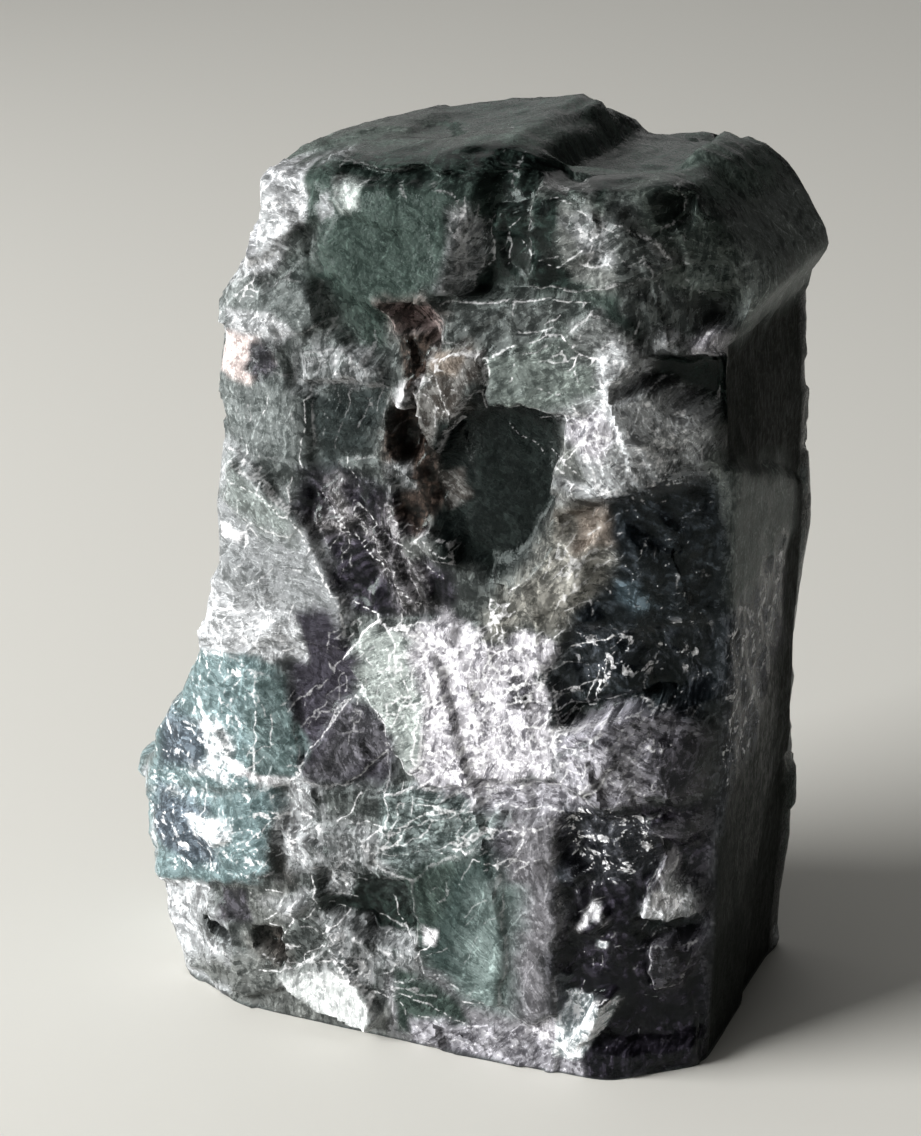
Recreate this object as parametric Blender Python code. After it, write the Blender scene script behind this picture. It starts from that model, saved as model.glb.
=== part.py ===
"""A standing block of massive fluorite, green and purple, as one solid.

The block is an upright slab of solid mineral. Its front is broken into flakes, ledges and hollows,
its right side is a nearly flat cleavage, its left side is crumbly and swells into two lumps low
down, its top slopes up to the back, and it stands on a flat base.

Frame: metres, +Z up, front towards -Y, +X to the right as one faces it. It stands on z = 0 with the
middle of its bounding box over the origin. Every size below is in millimetres.

How the shape is made: rays leave a slim core box in all directions but down. Each ray ends at the
nearest of the block's walls, and that end is then moved in or out by the flakes laid on that side
and by a field of small cleavage facets.
"""

import bmesh
import bpy
import numpy as np

NAME = "fluorite_block"
MM = 0.001

# Driving sizes: the walls of the block, then the core box that the rays start from.
FRONT = -24.0
BACK = 25.0
LEFT = -38.0
RIGHT = 38.0
TOP = 119.0
CORE_LEFT, CORE_RIGHT = -14.0, 24.0
CORE_FRONT, CORE_BACK = -9.0, 10.0
CORE_TOP = 104.0
LONGEST_RAY = 60.0

# How fine the rays are set, and how many triangles are kept of them.
SPACING = 1.0
TRIANGLES = 9000

# The left edge as seen from the front: height, then how far left it reaches. Two lumps at 17 to 30.
LEFT_EDGE = ((0, 37), (7, 39.5), (16, 42), (21, 42), (24.5, 40.8), (27, 43), (30, 42.6), (36, 39.5),
             (43.5, 35.5), (50, 31.5), (53, 32), (58, 30), (64, 28), (72, 28.3), (80, 27), (91, 27.6),
             (99, 26.8), (106, 22.2), (114.5, 19.5), (119.5, 15.5))
LEFT_EDGE_Y = -22.0
LEFT_SPREAD = 0.2

# The right wall: height, then how far right. Nearly flat, with a lobe that overhangs at 101 to 105.
RIGHT_EDGE = ((0, 37.4), (14, 38), (37, 38.6), (81, 38.6), (88, 38), (94, 37.2), (97, 38.4),
              (101.5, 41), (104.5, 40.6), (108.5, 38), (112, 36.4), (116, 33), (120, 26))

# The ridge of the top: how far right, then its height. It has a notch right of its highest point.
TOP_RIDGE = ((-30, 114.5), (-16, 118), (-8, 118.8), (2, 119.6), (10, 121), (14, 119.8), (18, 117.8),
             (25, 117.6), (31, 118), (36, 116))
TOP_RISE = 0.04

# Plain cleavage walls: a point on each, and the way it faces.
CLEAVAGES = (
    ("front", (0, FRONT, 0), (0, -1, 0)),
    ("back", (0, BACK, 60), (0.03, 1, -0.02)),
    ("front right edge", (30, -21.5, 0), (0.67, -0.75, 0)),
    ("front left edge", (-28, -22.6, 0), (-0.435, -0.9, 0)),
    ("top front slope", (0, FRONT, 115.5), (0, -0.45, 0.89)),
    ("back left edge", (-34, 14, 40), (-0.75, 0.66, 0.06)),
    ("back right edge", (38, 23.4, 30), (0.6, 0.8, 0.05)),
    ("top back slope", (4, 15, 120), (0.05, 0.5, 0.87)),
    ("top left back", (-24, 16, 104), (-0.6, 0.45, 0.66)),
)

# Flakes on the front, in the order in which they lie. Each has a name, its level out from the wall,
# the width of its step, its slope to the right and upward, and its outline as (right, up) corners.
FRONT_FLAKES = (
    ("left face", 0.0, 1.5, (0.04, 0), ((-29, 94), (-15, 90), (-15, 79), (-20, 79), (-29, 81))),
    ("low left facet", 0.9, 0.8, (0.06, 0.05),
     ((-28, 99.5), (-20, 103.5), (-15, 103), (-11.5, 99.5), (-11.5, 97.5), (-14.5, 95.5), (-28, 96))),
    ("shoulder", 0.5, 1.0, (0.05, -0.08),
     ((-22, 104), (-14, 110), (-9, 113), (-10, 118), (-15, 121), (-21, 112))),
    ("slanting groove", -1.6, 1.2, (0, 0),
     ((-9.5, 112), (-9.5, 109.5), (-19, 101.5), (-21.5, 103.5), (-14, 109.5))),
    ("hollow under the dome", -1.8, 1.0, (0, 0.1),
     ((-13, 103), (-7, 102), (-3.5, 100.5), (-3.5, 94), (-9, 94.5), (-12, 98))),
    ("square recess", -6.0, 0.9, (0.1, 0),
     ((5, 101.8), (5.5, 107), (10, 112), (15, 114.2), (14.5, 103.5))),
    ("recess wall", -3.2, 0.7, (-0.1, 0.15), ((10, 110), (10.2, 113), (15, 114.2), (14.3, 109.8))),
    ("dome face", 1.2, 1.0, (-0.04, -0.1),
     ((-8.5, 108), (-6, 113), (-4, 115.5), (4, 115.6), (6.6, 112), (5, 105), (3.5, 101), (-4.5, 100.5))),
    ("dome cap", 1.4, 1.4, (-0.05, -0.3),
     ((-11, 118), (-10.5, 121.5), (0, 123), (4.8, 119.5), (4.3, 116.8), (-3, 117))),
    ("shadow line", -1.4, 0.7, (0, 0), ((-9.5, 115.6), (-9.5, 116.8), (4, 116.9), (4, 116))),
    ("frosted plate", 0.6, 0.7, (0.03, 0.04),
     ((15, 116.4), (25, 115.6), (28, 112), (33, 108), (30, 106), (25, 105.2), (15, 104.3))),
    ("lobe back", -1.4, 0.8, (0.05, -0.05),
     ((25.5, 116), (27, 122), (31, 122), (39, 111), (44, 104), (38, 103), (33, 108.4), (28.5, 111.5))),
    ("lobe face", 0.4, 1.2, (-0.06, -0.02), ((28, 123), (30, 118), (36, 112.5), (45, 109), (46, 123))),
    ("lobe hole", -4.0, 1.2, (0, 0), ((30.3, 115), (33, 115), (33, 112), (30.8, 111.8))),
    ("ledge top", 0.2, 0.8, (0.02, -0.1),
     ((4, 102), (20, 103.4), (24, 102.2), (20, 99.3), (10, 96.4), (4, 97))),
    ("small lump", 1.0, 1.5, (0, 0), ((35, 105.5), (39, 106.3), (39, 103.8), (36, 103.3))),
    ("dark hole", -3.6, 1.0, (0, 0), ((34.5, 103.4), (39, 103.8), (39, 100.3), (35, 99.6))),
    ("brow lumps", 2.2, 1.2, (0, 0.1), ((33.8, 97.4), (38.8, 100.4), (42, 99.3), (42, 96.5), (36, 95.6))),
    ("brow lump left", 1.0, 0.9, (0, 0.1), ((30.8, 99.3), (32.2, 99.3), (33.6, 97.5), (31, 96.5))),
    ("hollow under the lobe", -4.2, 1.6, (0, 0.1),
     ((28, 92.8), (29.6, 95.8), (34, 96), (48, 95), (48, 86), (40.3, 85.7), (37, 88.6), (34.6, 92))),
    ("mineral pocket", -2.6, 1.0, (0, 0),
     ((-2.6, 100.3), (2.4, 101), (3.6, 99.2), (3, 96.5), (-1.5, 97.2))),
    ("crumbly ledge", 1.1, 0.7, (0, -0.1),
     ((-15, 93), (-8.2, 93.6), (-3.5, 93.6), (-3.5, 90.4), (-15, 89.4))),
    ("window", -2.6, 0.5, (0.04, 0.02),
     ((-13.8, 89.4), (-3.1, 90), (-3.6, 86), (-5, 81), (-10, 80), (-10.6, 77), (-13, 76), (-15, 79))),
    ("hollow under the hook", -3.2, 1.2, (0, 0),
     ((-2.3, 87.5), (1.4, 88), (1.8, 85), (0.2, 81.7), (-2.5, 83))),
    ("dark bowl", -3.6, 3.0, (-0.03, 0),
     ((4, 87), (10, 89.5), (19, 87.5), (18, 79.5), (14, 75), (10, 70), (5.5, 71), (3.5, 77))),
    ("wedge plate", 1.9, 0.5, (-0.06, 0.05),
     ((2, 94.2), (6, 96), (9.8, 96.4), (9.8, 92), (5.5, 87.6), (3.6, 83), (0.4, 87), (1.6, 91.6))),
    ("hook", 1.7, 0.5, (0, 0.1), ((-2.1, 88.2), (0, 91), (1.5, 92.5), (1, 88.2), (-1, 87.7))),
    ("pale plate", 1.7, 0.5, (0.02, -0.04),
     ((10.2, 95.8), (14, 97.5), (20.2, 99.5), (27.4, 95), (25.8, 90.6), (20.3, 89.6), (10.4, 90))),
    ("pale plate right", 1.0, 0.5, (-0.12, 0.06),
     ((20.2, 99.5), (24, 102.2), (28.5, 100), (29.2, 96.4), (27.4, 95), (22.2, 97.6))),
    ("white fracture", 1.3, 0.8, (-0.02, 0.04),
     ((20, 89.6), (29.5, 92.6), (32, 93), (35, 92), (37.2, 88.7), (40.3, 85.7), (38.6, 83.8), (31, 82),
      (25, 78.7), (18, 79.5), (20, 85))),
    ("white fracture flake", 0.6, 0.5, (0.08, -0.12),
     ((30, 84.6), (32, 82.4), (38, 82.2), (37, 85.4), (33, 86.6))),
    ("slab shadow", -2.6, 0.8, (0.05, 0),
     ((-16, 78), (-10, 76), (-3, 71), (-6, 62), (-10.3, 61.5), (-12.6, 66.5), (-15, 71.4))),
    ("slanting slab", 1.8, 0.5, (0.05, -0.02),
     ((-31, 79.4), (-25, 79.4), (-20.4, 76.6), (-15.1, 71.5), (-12.8, 66.7), (-10.6, 62), (-10, 54),
      (-17, 55.5), (-22, 60), (-31, 60))),
    ("slab upper face", 2.3, 0.5, (0.02, 0.09),
     ((-25.5, 78.4), (-20.6, 76), (-15.5, 71.3), (-16.5, 69.6), (-21.2, 70.2), (-26, 73))),
    ("upper blade", 0.5, 0.5, (0.1, 0.1), ((-13, 75.5), (-9.8, 77), (-6.5, 73.8), (-9, 72.3))),
    ("lower blade", 0.1, 0.4, (0.1, 0.1), ((-12.8, 72.8), (-8.3, 72.4), (-9, 70.6), (-13.5, 71))),
    ("long blade", 1.2, 0.4, (0.15, 0), ((-6, 72.4), (-4.6, 72), (1, 62.8), (-0.9, 62))),
    ("second blade", 0.5, 0.4, (0.2, 0), ((-3.6, 75), (-2.4, 74.6), (3.4, 63), (1.4, 63))),
    ("tip wedge", 1.2, 0.5, (0.05, 0.1),
     ((0.4, 70.4), (2.6, 72.6), (5.2, 70.6), (6.2, 68.1), (2.8, 69.1))),
    ("low pale band", 0.4, 1.2, (0, 0),
     ((18, 78.5), (21, 75), (21.5, 65), (14, 62.5), (12, 66), (16.2, 69.2))),
    ("stain pocket", -1.6, 0.9, (0, 0), ((20.4, 77), (25, 77.8), (24.6, 75), (23.2, 72.9), (20.5, 74))),
    ("dark field", -1.2, 1.6, (0.02, 0),
     ((25.2, 78.6), (38, 81.5), (40, 70), (38, 62), (25, 62), (21.8, 66), (22.5, 73))),
    ("lower dark field", -2.3, 1.2, (0, -0.04),
     ((19, 60), (38, 62), (38, 53.5), (28, 52.6), (18, 50.6), (17, 56))),
    ("hollow over the ledge", -3.8, 0.8, (0, 0),
     ((18, 50.8), (28, 53), (33, 53.8), (28, 51.1), (24.7, 49.7), (18.4, 48.5))),
    ("crumbly top left", 0.7, 1.4, (0, 0),
     ((-32, 59), (-25, 61), (-16, 60), (-16, 57), (-25, 51.6), (-32, 50.5))),
    ("sunk field", -1.4, 0.8, (-0.04, 0.02),
     ((-18, 55.6), (-10, 54), (-9, 52), (-5.4, 46.8), (-3.5, 42.5), (-3.5, 36), (-17, 35), (-19, 43),
      (-19, 50))),
    ("sunk field plate", -0.3, 0.4, (-0.08, 0),
     ((-8, 48.6), (-10.8, 46.6), (-12.8, 42.9), (-16.8, 35.5), (-9.5, 35.6), (-3.5, 42), (-5.4, 46.6))),
    ("white field", 0.6, 0.9, (0, 0.01),
     ((1, 59.4), (5, 62.4), (10, 60), (14, 61), (19.2, 59.4), (16.4, 51), (19.6, 48.5), (19.7, 41.5),
      (10, 40), (0.8, 37.4))),
    ("kite plate", 1.9, 0.4, (0.02, -0.03),
     ((-9.4, 53.8), (-7.1, 57), (-4.5, 59.9), (-0.5, 59.5), (2.6, 55.2), (0.7, 48.6), (0.5, 40.6),
      (-3.5, 42.6), (-5.4, 46.8), (-9, 52.2))),
    ("upper lump", 2.0, 0.9, (0.05, -0.02),
     ((-32, 50.4), (-25.5, 51.6), (-19.2, 49.6), (-18.2, 46), (-16.8, 36.5), (-19.5, 34.1), (-35, 30.1),
      (-45, 27), (-45, 36))),
    ("upper lump right", 2.2, 0.4, (-0.12, 0.02),
     ((-22, 50.6), (-19.2, 49.6), (-18.2, 46), (-16.8, 36.5), (-19.5, 34.1), (-22.5, 34))),
    ("upper lump flake", 2.9, 0.4, (0.05, 0.12),
     ((-31.5, 40.8), (-28.7, 40.6), (-26, 37.6), (-31.6, 35.4))),
    ("lower lump", 2.5, 0.9, (0, 0.05),
     ((-35, 29.6), (-19.5, 33.6), (-19, 28.3), (-20.2, 20.7), (-25, 18.8), (-30.5, 17.2), (-45, 13),
      (-45, 26.5))),
    ("lower lump bar", 3.2, 0.4, (0, 0.15), ((-34, 24.7), (-28.5, 26.4), (-26.4, 25.6), (-29.3, 23.9))),
    ("crack", -3.4, 0.6, (0, 0), ((-19.3, 30.5), (-18.2, 30.5), (-18.8, 20), (-20.6, 20.6))),
    ("broken plates", 1.8, 0.5, (0.02, 0.06),
     ((-14.8, 23.4), (-6, 23.5), (-5.9, 25.4), (-8.1, 28.5), (-14.4, 28.4))),
    ("hollow under the plates", -2.2, 0.8, (0, 0),
     ((-14, 23.2), (-2, 23.2), (0, 15), (-5, 14), (-12, 17))),
    ("striped face", 0.7, 0.8, (-0.03, 0.05),
     ((-5, 25.5), (-3.5, 36), (1, 37.4), (10, 39.4), (13, 34), (9.8, 31.3), (0, 24.4))),
    ("green facet", 1.7, 0.5, (0.13, -0.02),
     ((-1, 24), (9.8, 31.3), (13, 33.6), (16.8, 33.3), (14, 26), (13.4, 22), (14.4, 13.6), (12.9, 8.2),
      (1.5, 10.2))),
    ("band beside the facet", 1.4, 0.6, (-0.24, 0),
     ((14, 26.3), (17.6, 27), (20.4, 19.6), (20.4, 8.6), (15, 5.6), (12.9, 8.2), (14.4, 13.6),
      (13.4, 22))),
    ("shell plate", 1.7, 0.6, (0, -0.1),
     ((10, 30.8), (11.2, 33.8), (14, 34.7), (16.4, 33), (17.1, 30.4), (14, 28.6))),
    ("strip under the ledge", -0.9, 0.5, (0, 0),
     ((0.8, 37.2), (10, 39.4), (19.5, 40.2), (21.2, 39), (20, 36.4), (11, 35.6))),
    ("ledge block", 1.3, 0.6, (0, 0.04),
     ((19.6, 48.5), (24.7, 49.7), (28.2, 51.1), (34, 52), (37, 48), (37, 44.6), (36, 40.2),
      (26.7, 38.6), (19.7, 41.5))),
    ("ledge block facet", 1.9, 0.4, (0.1, -0.1),
     ((19.8, 41.6), (23.4, 40.2), (27.2, 44.6), (24, 46), (19.8, 45))),
    ("rounded lump", 2.6, 2.4, (0, 0),
     ((31.8, 47.5), (36.8, 47.6), (37.5, 44.7), (36.1, 40.2), (32.9, 39.4), (31.3, 43.7))),
    ("lower right field", -2.3, 1.0, (0.02, 0),
     ((20.5, 36), (30, 37), (38, 37), (38, 4), (23, 4.5), (20.4, 9), (20.4, 20), (17.6, 27), (17, 31))),
    ("low lump", 0.3, 1.4, (0, 0), ((30.4, 36.6), (37, 37.1), (37.1, 33.3), (33.8, 32.7), (30.4, 34.6))),
    ("small dome", -0.4, 1.6, (0, 0),
     ((18, 28.8), (20.3, 30), (22.4, 28.2), (21.4, 27), (19.7, 26.3), (18, 27.4))),
    ("pale spur", 0.2, 0.6, (0.06, -0.1),
     ((30, 24.3), (33, 31.2), (35.2, 29.5), (37.6, 25.7), (37.4, 23.2), (32, 23.6))),
    ("hollow under the spur", -3.6, 0.8, (0, 0), ((29, 23.2), (37.2, 22.6), (37, 19.8), (30, 19))),
    ("lower spur", -0.3, 0.6, (0.08, -0.05),
     ((30.4, 18.3), (36.9, 17.7), (35.9, 15.4), (34.3, 11.8), (31.6, 11.6))),
    ("glint plate", -1.0, 0.4, (0.15, 0.1), ((20.6, 21.4), (25.8, 24.6), (26.4, 23), (22, 20.4))),
    ("bright foot", 0.7, 0.6, (0.1, 0.1), ((25.1, 10.7), (27.5, 11.2), (22.8, 3.4), (20, 3.6))),
    ("base rim", 0.5, 0.8, (-0.01, -0.05),
     ((-3, 8.6), (1.5, 10), (12.9, 8), (20, 3.6), (20, -2), (8, -2), (-3, 3))),
    ("wedge crest", 1.2, 0.5, (0, 0.1), ((-21.3, 16.3), (-16.4, 18.2), (-15, 17.5), (-17.1, 15))),
    ("wedge dark facet", 0.4, 0.4, (-0.12, -0.05),
     ((-15, 17.5), (-19.6, 11.4), (-19.4, 8.6), (-15.2, 8.9), (-12, 12.5), (-13, 15.1))),
    ("wedge light facet", 1.9, 0.4, (0.02, -0.22),
     ((-15.2, 8.9), (-8.9, 10.6), (-5.9, 4.2), (-8, 2.2), (-13.6, 2.8), (-18.8, 4.6), (-20.8, 6.5))),
    ("wedge right face", 0.9, 0.5, (-0.15, 0),
     ((-13, 15.1), (-12, 12.5), (-15.2, 8.9), (-8.9, 10.6), (-10.5, 14))),
    ("foot slab", 0.9, 0.6, (0.02, -0.1),
     ((-37, 4.6), (-30, 6.5), (-25.6, 8.4), (-20.1, 8), (-19.8, 4.6), (-25.2, 2.2), (-37, 2))),
    ("slot", -3.2, 0.6, (0, 0), ((-32.3, 10.8), (-27.8, 9.9), (-27.8, 8.8), (-31.6, 8.9))),
    ("small pocket", -2.6, 0.8, (0, 0), ((-24.2, 12), (-20.2, 12.4), (-20, 9.2), (-24, 9.6))),
)

# Flakes on the other sides. The corners are (back, up) on the left and right walls, (right, up) on
# the back, and (right, back) on the top.
RIGHT_FLAKES = (
    ("upper flat", -0.9, 0.7, (0, 0), ((-20, 84), (-12, 81.5), (10, 75), (30, 67), (30, 97), (-20, 97))),
    ("front hollow", -2.6, 2.2, (0, 0), ((-17, 93), (-6, 92), (-4, 85), (-16, 83.5))),
    ("low step", -0.7, 0.6, (0, 0), ((2, -5), (6, 22), (14, 31), (30, 34), (30, -5))),
)
LEFT_FLAKES = (
    ("long scar", -2.2, 1.0, (0, 0.02), ((-12, 52), (2, 58), (10, 92), (-4, 100), (-14, 76))),
    ("upper scar", -1.4, 0.8, (0.03, 0), ((4, 88), (16, 84), (19, 108), (6, 112))),
    ("swollen foot", 1.6, 1.4, (0, 0), ((-12, 8), (6, 5), (12, 24), (0, 36), (-12, 30))),
    ("foot step", -1.5, 0.7, (0, 0), ((6, -4), (12, 24), (24, 30), (24, -4))),
)
BACK_FLAKES = (
    ("great scar", -2.6, 0.9, (0.03, 0.02),
     ((-26, 62), (-6, 54), (12, 70), (16, 102), (-4, 110), (-22, 96))),
    ("scar floor", -3.8, 0.7, (-0.05, 0.03), ((-14, 70), (2, 66), (10, 80), (4, 98), (-10, 94))),
    ("right plate", 0.9, 0.6, (0.02, 0), ((16, 40), (30, 36), (36, 60), (32, 84), (20, 78))),
    ("low ledge", 1.4, 0.6, (0, -0.03), ((-30, -4), (26, -4), (22, 24), (2, 30), (-20, 20))),
    ("left chip", -1.8, 0.6, (-0.08, 0), ((-36, 30), (-22, 34), (-16, 48), (-30, 56))),
    ("cube step", -1.2, 0.5, (0, 0), ((4, 30), (24, 24), (28, 38), (12, 50), (2, 44))),
)
TOP_FLAKES = (
    ("saddle", -0.9, 1.2, (0, 0.05), ((14, -12), (28, -10), (27, 14), (17, 18))),
    ("ridge plate", 0.6, 0.8, (0.02, 0.05), ((-8, -4), (10, -8), (13, 10), (2, 16), (-10, 10))),
    ("left chip", -1.3, 0.7, (0.05, 0), ((-20, -6), (-10, -2), (-10, 12), (-22, 10))),
    ("right knob", 0.7, 1.4, (0, 0), ((28, -4), (36, 0), (35, 12), (28, 12))),
)

# The field of small cleavage facets: their spacing, the way in which they are drawn out and by how
# much, how far they step, how far they tilt, and how strong they are on the front and right walls.
FACET_SPACING = 9.0
FACET_GRAIN = (0.55, 0.35, -0.75)
FACET_STRETCH = 2.2
FACET_STEP = 0.5
FACET_TILT = 0.09
FACET_SEED = 11
FRONT_FACET_SHARE = 0.5
RIGHT_FACET_SHARE = 0.5

# How far a point of the facet field can stand out from the mean of the points around it.
SHARPEST_PIN = 0.35
PIN_ROUNDS = 3


def profile(knots, at):
    """Straight lines between the knots of a profile, read at the given places."""
    places, values = np.array(knots, float).T
    return np.interp(at, places, values)


def ray_net(across, deep, high):
    """The net of rays: points on an outer box, and the quads between them.

    The loop of each row runs along the front, the right, the back and the left wall. The top is a
    grid whose rim is the last row. The bottom is left open.
    """
    xs = np.linspace(LEFT, RIGHT, across + 1)
    ys = np.linspace(FRONT, BACK, deep + 1)
    zs = np.linspace(0.0, TOP, high + 1)
    loop_x = np.concatenate([xs[:-1], np.full(deep, RIGHT), xs[:0:-1], np.full(deep, LEFT)])
    loop_y = np.concatenate([np.full(across, FRONT), ys[:-1], np.full(across, BACK), ys[:0:-1]])
    loop = len(loop_x)
    wall = np.stack([np.tile(loop_x, high + 1), np.tile(loop_y, high + 1), np.repeat(zs, loop)], axis=1)
    row, step = np.meshgrid(np.arange(high), np.arange(loop), indexing="ij")
    after = (step + 1) % loop
    quads = [np.stack([row * loop + step, row * loop + after,
                       (row + 1) * loop + after, (row + 1) * loop + step], axis=-1).reshape(-1, 4)]

    inner_x, inner_y = np.meshgrid(xs[1:-1], ys[1:-1], indexing="ij")
    lid = np.stack([inner_x.ravel(), inner_y.ravel(), np.full(inner_x.size, TOP)], axis=1)
    number = np.zeros((across + 1, deep + 1), int)
    number[1:-1, 1:-1] = len(wall) + np.arange(inner_x.size).reshape(across - 1, deep - 1)
    rim = high * loop + np.arange(loop)
    number[:-1, 0] = rim[:across]
    number[-1, :-1] = rim[across:across + deep]
    number[:0:-1, -1] = rim[across + deep:2 * across + deep]
    number[0, :0:-1] = rim[2 * across + deep:]
    quads.append(np.stack([number[:-1, :-1], number[1:, :-1], number[1:, 1:], number[:-1, 1:]],
                          axis=-1).reshape(-1, 4))
    return np.concatenate([wall, lid]), np.concatenate(quads)


def core_points(outer):
    """The place on the core box, which has no floor of its own, that each ray leaves from."""
    return np.stack([np.clip(outer[:, 0], CORE_LEFT, CORE_RIGHT),
                     np.clip(outer[:, 1], CORE_FRONT, CORE_BACK),
                     np.minimum(outer[:, 2], CORE_TOP)], axis=1)


def beyond_walls(points):
    """How far points lie beyond the walls: the largest of point . facing - reach, negative inside.

    The reach of the left, right and top walls changes with height or with the place across.
    """
    beyond = []
    for _, point, facing in CLEAVAGES:
        facing = np.array(facing, float) / np.linalg.norm(facing)
        beyond.append(points @ facing - np.dot(point, facing))
    x, y, z = points.T
    beyond.append(-x - LEFT_SPREAD * (y - LEFT_EDGE_Y) - profile(LEFT_EDGE, z))
    beyond.append(x - profile(RIGHT_EDGE, z))
    beyond.append(z - TOP_RISE * y - profile(TOP_RIDGE, x))
    return np.max(beyond, axis=0)


def ray_ends(start, way):
    """Where the rays leave the walls, found by halving the stretch that holds the crossing."""
    near = np.zeros(len(start))
    far = np.full(len(start), LONGEST_RAY)
    for _ in range(24):
        middle = (near + far) / 2
        inside = beyond_walls(start + way * middle[:, None]) < 0.0
        near = np.where(inside, middle, near)
        far = np.where(inside, far, middle)
    return start + way * near[:, None]


def outline_offset(across, up, corners):
    """Signed distance to an outline, negative inside, and the way from each point onto it.

    The nearest point on each side of the outline is its foot, held between the side's two ends.
    A point is inside when a level line from it crosses the outline an odd number of times.
    """
    corners = np.array(corners, float)
    nearest = np.full(len(across), np.inf)
    slide = np.zeros((len(across), 2))
    inside = np.zeros(len(across), bool)
    for (ax, ay), (bx, by) in zip(corners, np.roll(corners, -1, axis=0)):
        share = ((across - ax) * (bx - ax) + (up - ay) * (by - ay)) / ((bx - ax) ** 2 + (by - ay) ** 2)
        share = np.clip(share, 0.0, 1.0)
        gap = np.stack([ax + share * (bx - ax) - across, ay + share * (by - ay) - up], axis=1)
        away = np.hypot(gap[:, 0], gap[:, 1])
        closer = away < nearest
        nearest = np.where(closer, away, nearest)
        slide[closer] = gap[closer]
        crossing = (ay > up) != (by > up)
        level = ax + (up - ay) / np.where(by == ay, 1.0, by - ay) * (bx - ax)
        inside ^= crossing & (across < level)
    return np.where(inside, -nearest, nearest), slide


def snap_to_outlines(across, up, flakes, near):
    """Slides points that are nearly on a flake's outline onto it, so that its edge is clean."""
    for _, _, _, _, corners in flakes:
        away, slide = outline_offset(across, up, corners)
        close = np.abs(away) < near
        across = np.where(close, across + slide[:, 0], across)
        up = np.where(close, up + slide[:, 1], up)
    return across, up


def flake_relief(across, up, flakes):
    """How far out the flakes lie. Each covers the ones before it with its own sloping level.

    The share of a flake rises from 0 to 1 over its step, which lies just inside its outline.
    """
    relief = np.zeros(len(across))
    for _, level, step, slope, corners in flakes:
        away, _ = outline_offset(across, up, corners)
        share = np.clip(-away / step, 0.0, 1.0)
        middle = np.mean(corners, axis=0)
        own = level + slope[0] * (across - middle[0]) + slope[1] * (up - middle[1])
        relief += share * (own - relief)
    return relief


def facet_field(points, spacing, step, tilt, seed):
    """A field of flat facets: each point takes the plane of the nearest of a set of seeds.

    Space is first squeezed along the grain, which draws the facets out along it. A seed's plane is
    a random height plus a random slope times the way from the seed.
    """
    grain = np.array(FACET_GRAIN) / np.linalg.norm(FACET_GRAIN)
    points = points - (1.0 - 1.0 / FACET_STRETCH) * (points @ grain)[:, None] * grain
    chance = np.random.default_rng(seed)
    low, high = points.min(axis=0), points.max(axis=0)
    lattice = [np.arange(a - spacing, b + spacing, spacing) for a, b in zip(low, high)]
    seeds = np.stack(np.meshgrid(*lattice, indexing="ij"), axis=-1).reshape(-1, 3)
    seeds += chance.uniform(-0.5, 0.5, seeds.shape) * spacing
    heights = chance.normal(0.0, step, len(seeds))
    slopes = chance.normal(0.0, tilt, seeds.shape)
    value = np.zeros(len(points))
    for part in np.array_split(np.arange(len(points)), max(1, len(points) // 4000)):
        gaps = points[part][:, None, :] - seeds[None, :, :]
        pick = np.argmin((gaps ** 2).sum(axis=2), axis=1)
        value[part] = heights[pick] + (gaps[np.arange(len(part)), pick] * slopes[pick]).sum(axis=1)
    return value


def blunt_pins(value, quads):
    """Holds each value near the mean of the other corners of its quads, so that no pin stands out."""
    corner = quads.ravel()
    count = np.bincount(corner, minlength=len(value))
    for _ in range(PIN_ROUNDS):
        others = value[quads].sum(axis=1)[:, None] - value[quads]
        mean = np.bincount(corner, weights=others.ravel(), minlength=len(value)) / (3.0 * count)
        value = np.clip(value, mean - SHARPEST_PIN, mean + SHARPEST_PIN)
    return value


def side_shares(place):
    """How much each point belongs to the front, right, left, back and top, from 0 to 1."""
    x, y, z = place.T
    front = np.clip((FRONT + 11.0 - y) / 3.0, 0.0, 1.0)
    back = np.clip((y - BACK + 7.0) / 3.0, 0.0, 1.0)
    rest = (1.0 - front) * (1.0 - back)
    top = rest * np.clip((z - 111.0) / 3.0, 0.0, 1.0)
    right = rest * (1.0 - top) * np.clip((x - 32.0) / 2.0, 0.0, 1.0)
    left = rest * (1.0 - top) * np.clip((-x - 10.0) / 5.0, 0.0, 1.0)
    return front, right, left, back, top


def block_surface(spacing):
    """Points and quads of the block's surface in millimetres, open underneath."""
    across = round((RIGHT - LEFT) / spacing)
    deep = round((BACK - FRONT) / spacing)
    high = round(TOP / spacing)
    outer, quads = ray_net(across, deep, high)
    start = core_points(outer)
    way = outer - start
    way /= np.linalg.norm(way, axis=1)[:, None]
    place = ray_ends(start, way)

    front, right, left, back, top = side_shares(place)
    flat_front = np.abs(place[:, 1] - FRONT) < 0.01
    x, z = snap_to_outlines(place[:, 0], place[:, 2], FRONT_FLAKES, 0.4 * spacing)
    inner = flat_front & (place[:, 2] > 0.5)
    place[inner, 0] = x[inner]
    place[inner, 2] = z[inner]

    facets = facet_field(place, FACET_SPACING, FACET_STEP, FACET_TILT, FACET_SEED)
    facets = blunt_pins(facets, quads)
    facets *= 1.0 - (1.0 - FRONT_FACET_SHARE) * front - (1.0 - RIGHT_FACET_SHARE) * right
    out = way * (facets + right * flake_relief(place[:, 1], place[:, 2], RIGHT_FLAKES)
                 + left * flake_relief(place[:, 1], place[:, 2], LEFT_FLAKES)
                 + back * flake_relief(place[:, 0], place[:, 2], BACK_FLAKES)
                 + top * flake_relief(place[:, 0], place[:, 1], TOP_FLAKES))[:, None]
    out[:, 1] -= front * flake_relief(place[:, 0], place[:, 2], FRONT_FLAKES)
    foot = outer[:, 2] == 0.0
    out[foot, 2] = 0.0
    return place + out, quads


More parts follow.
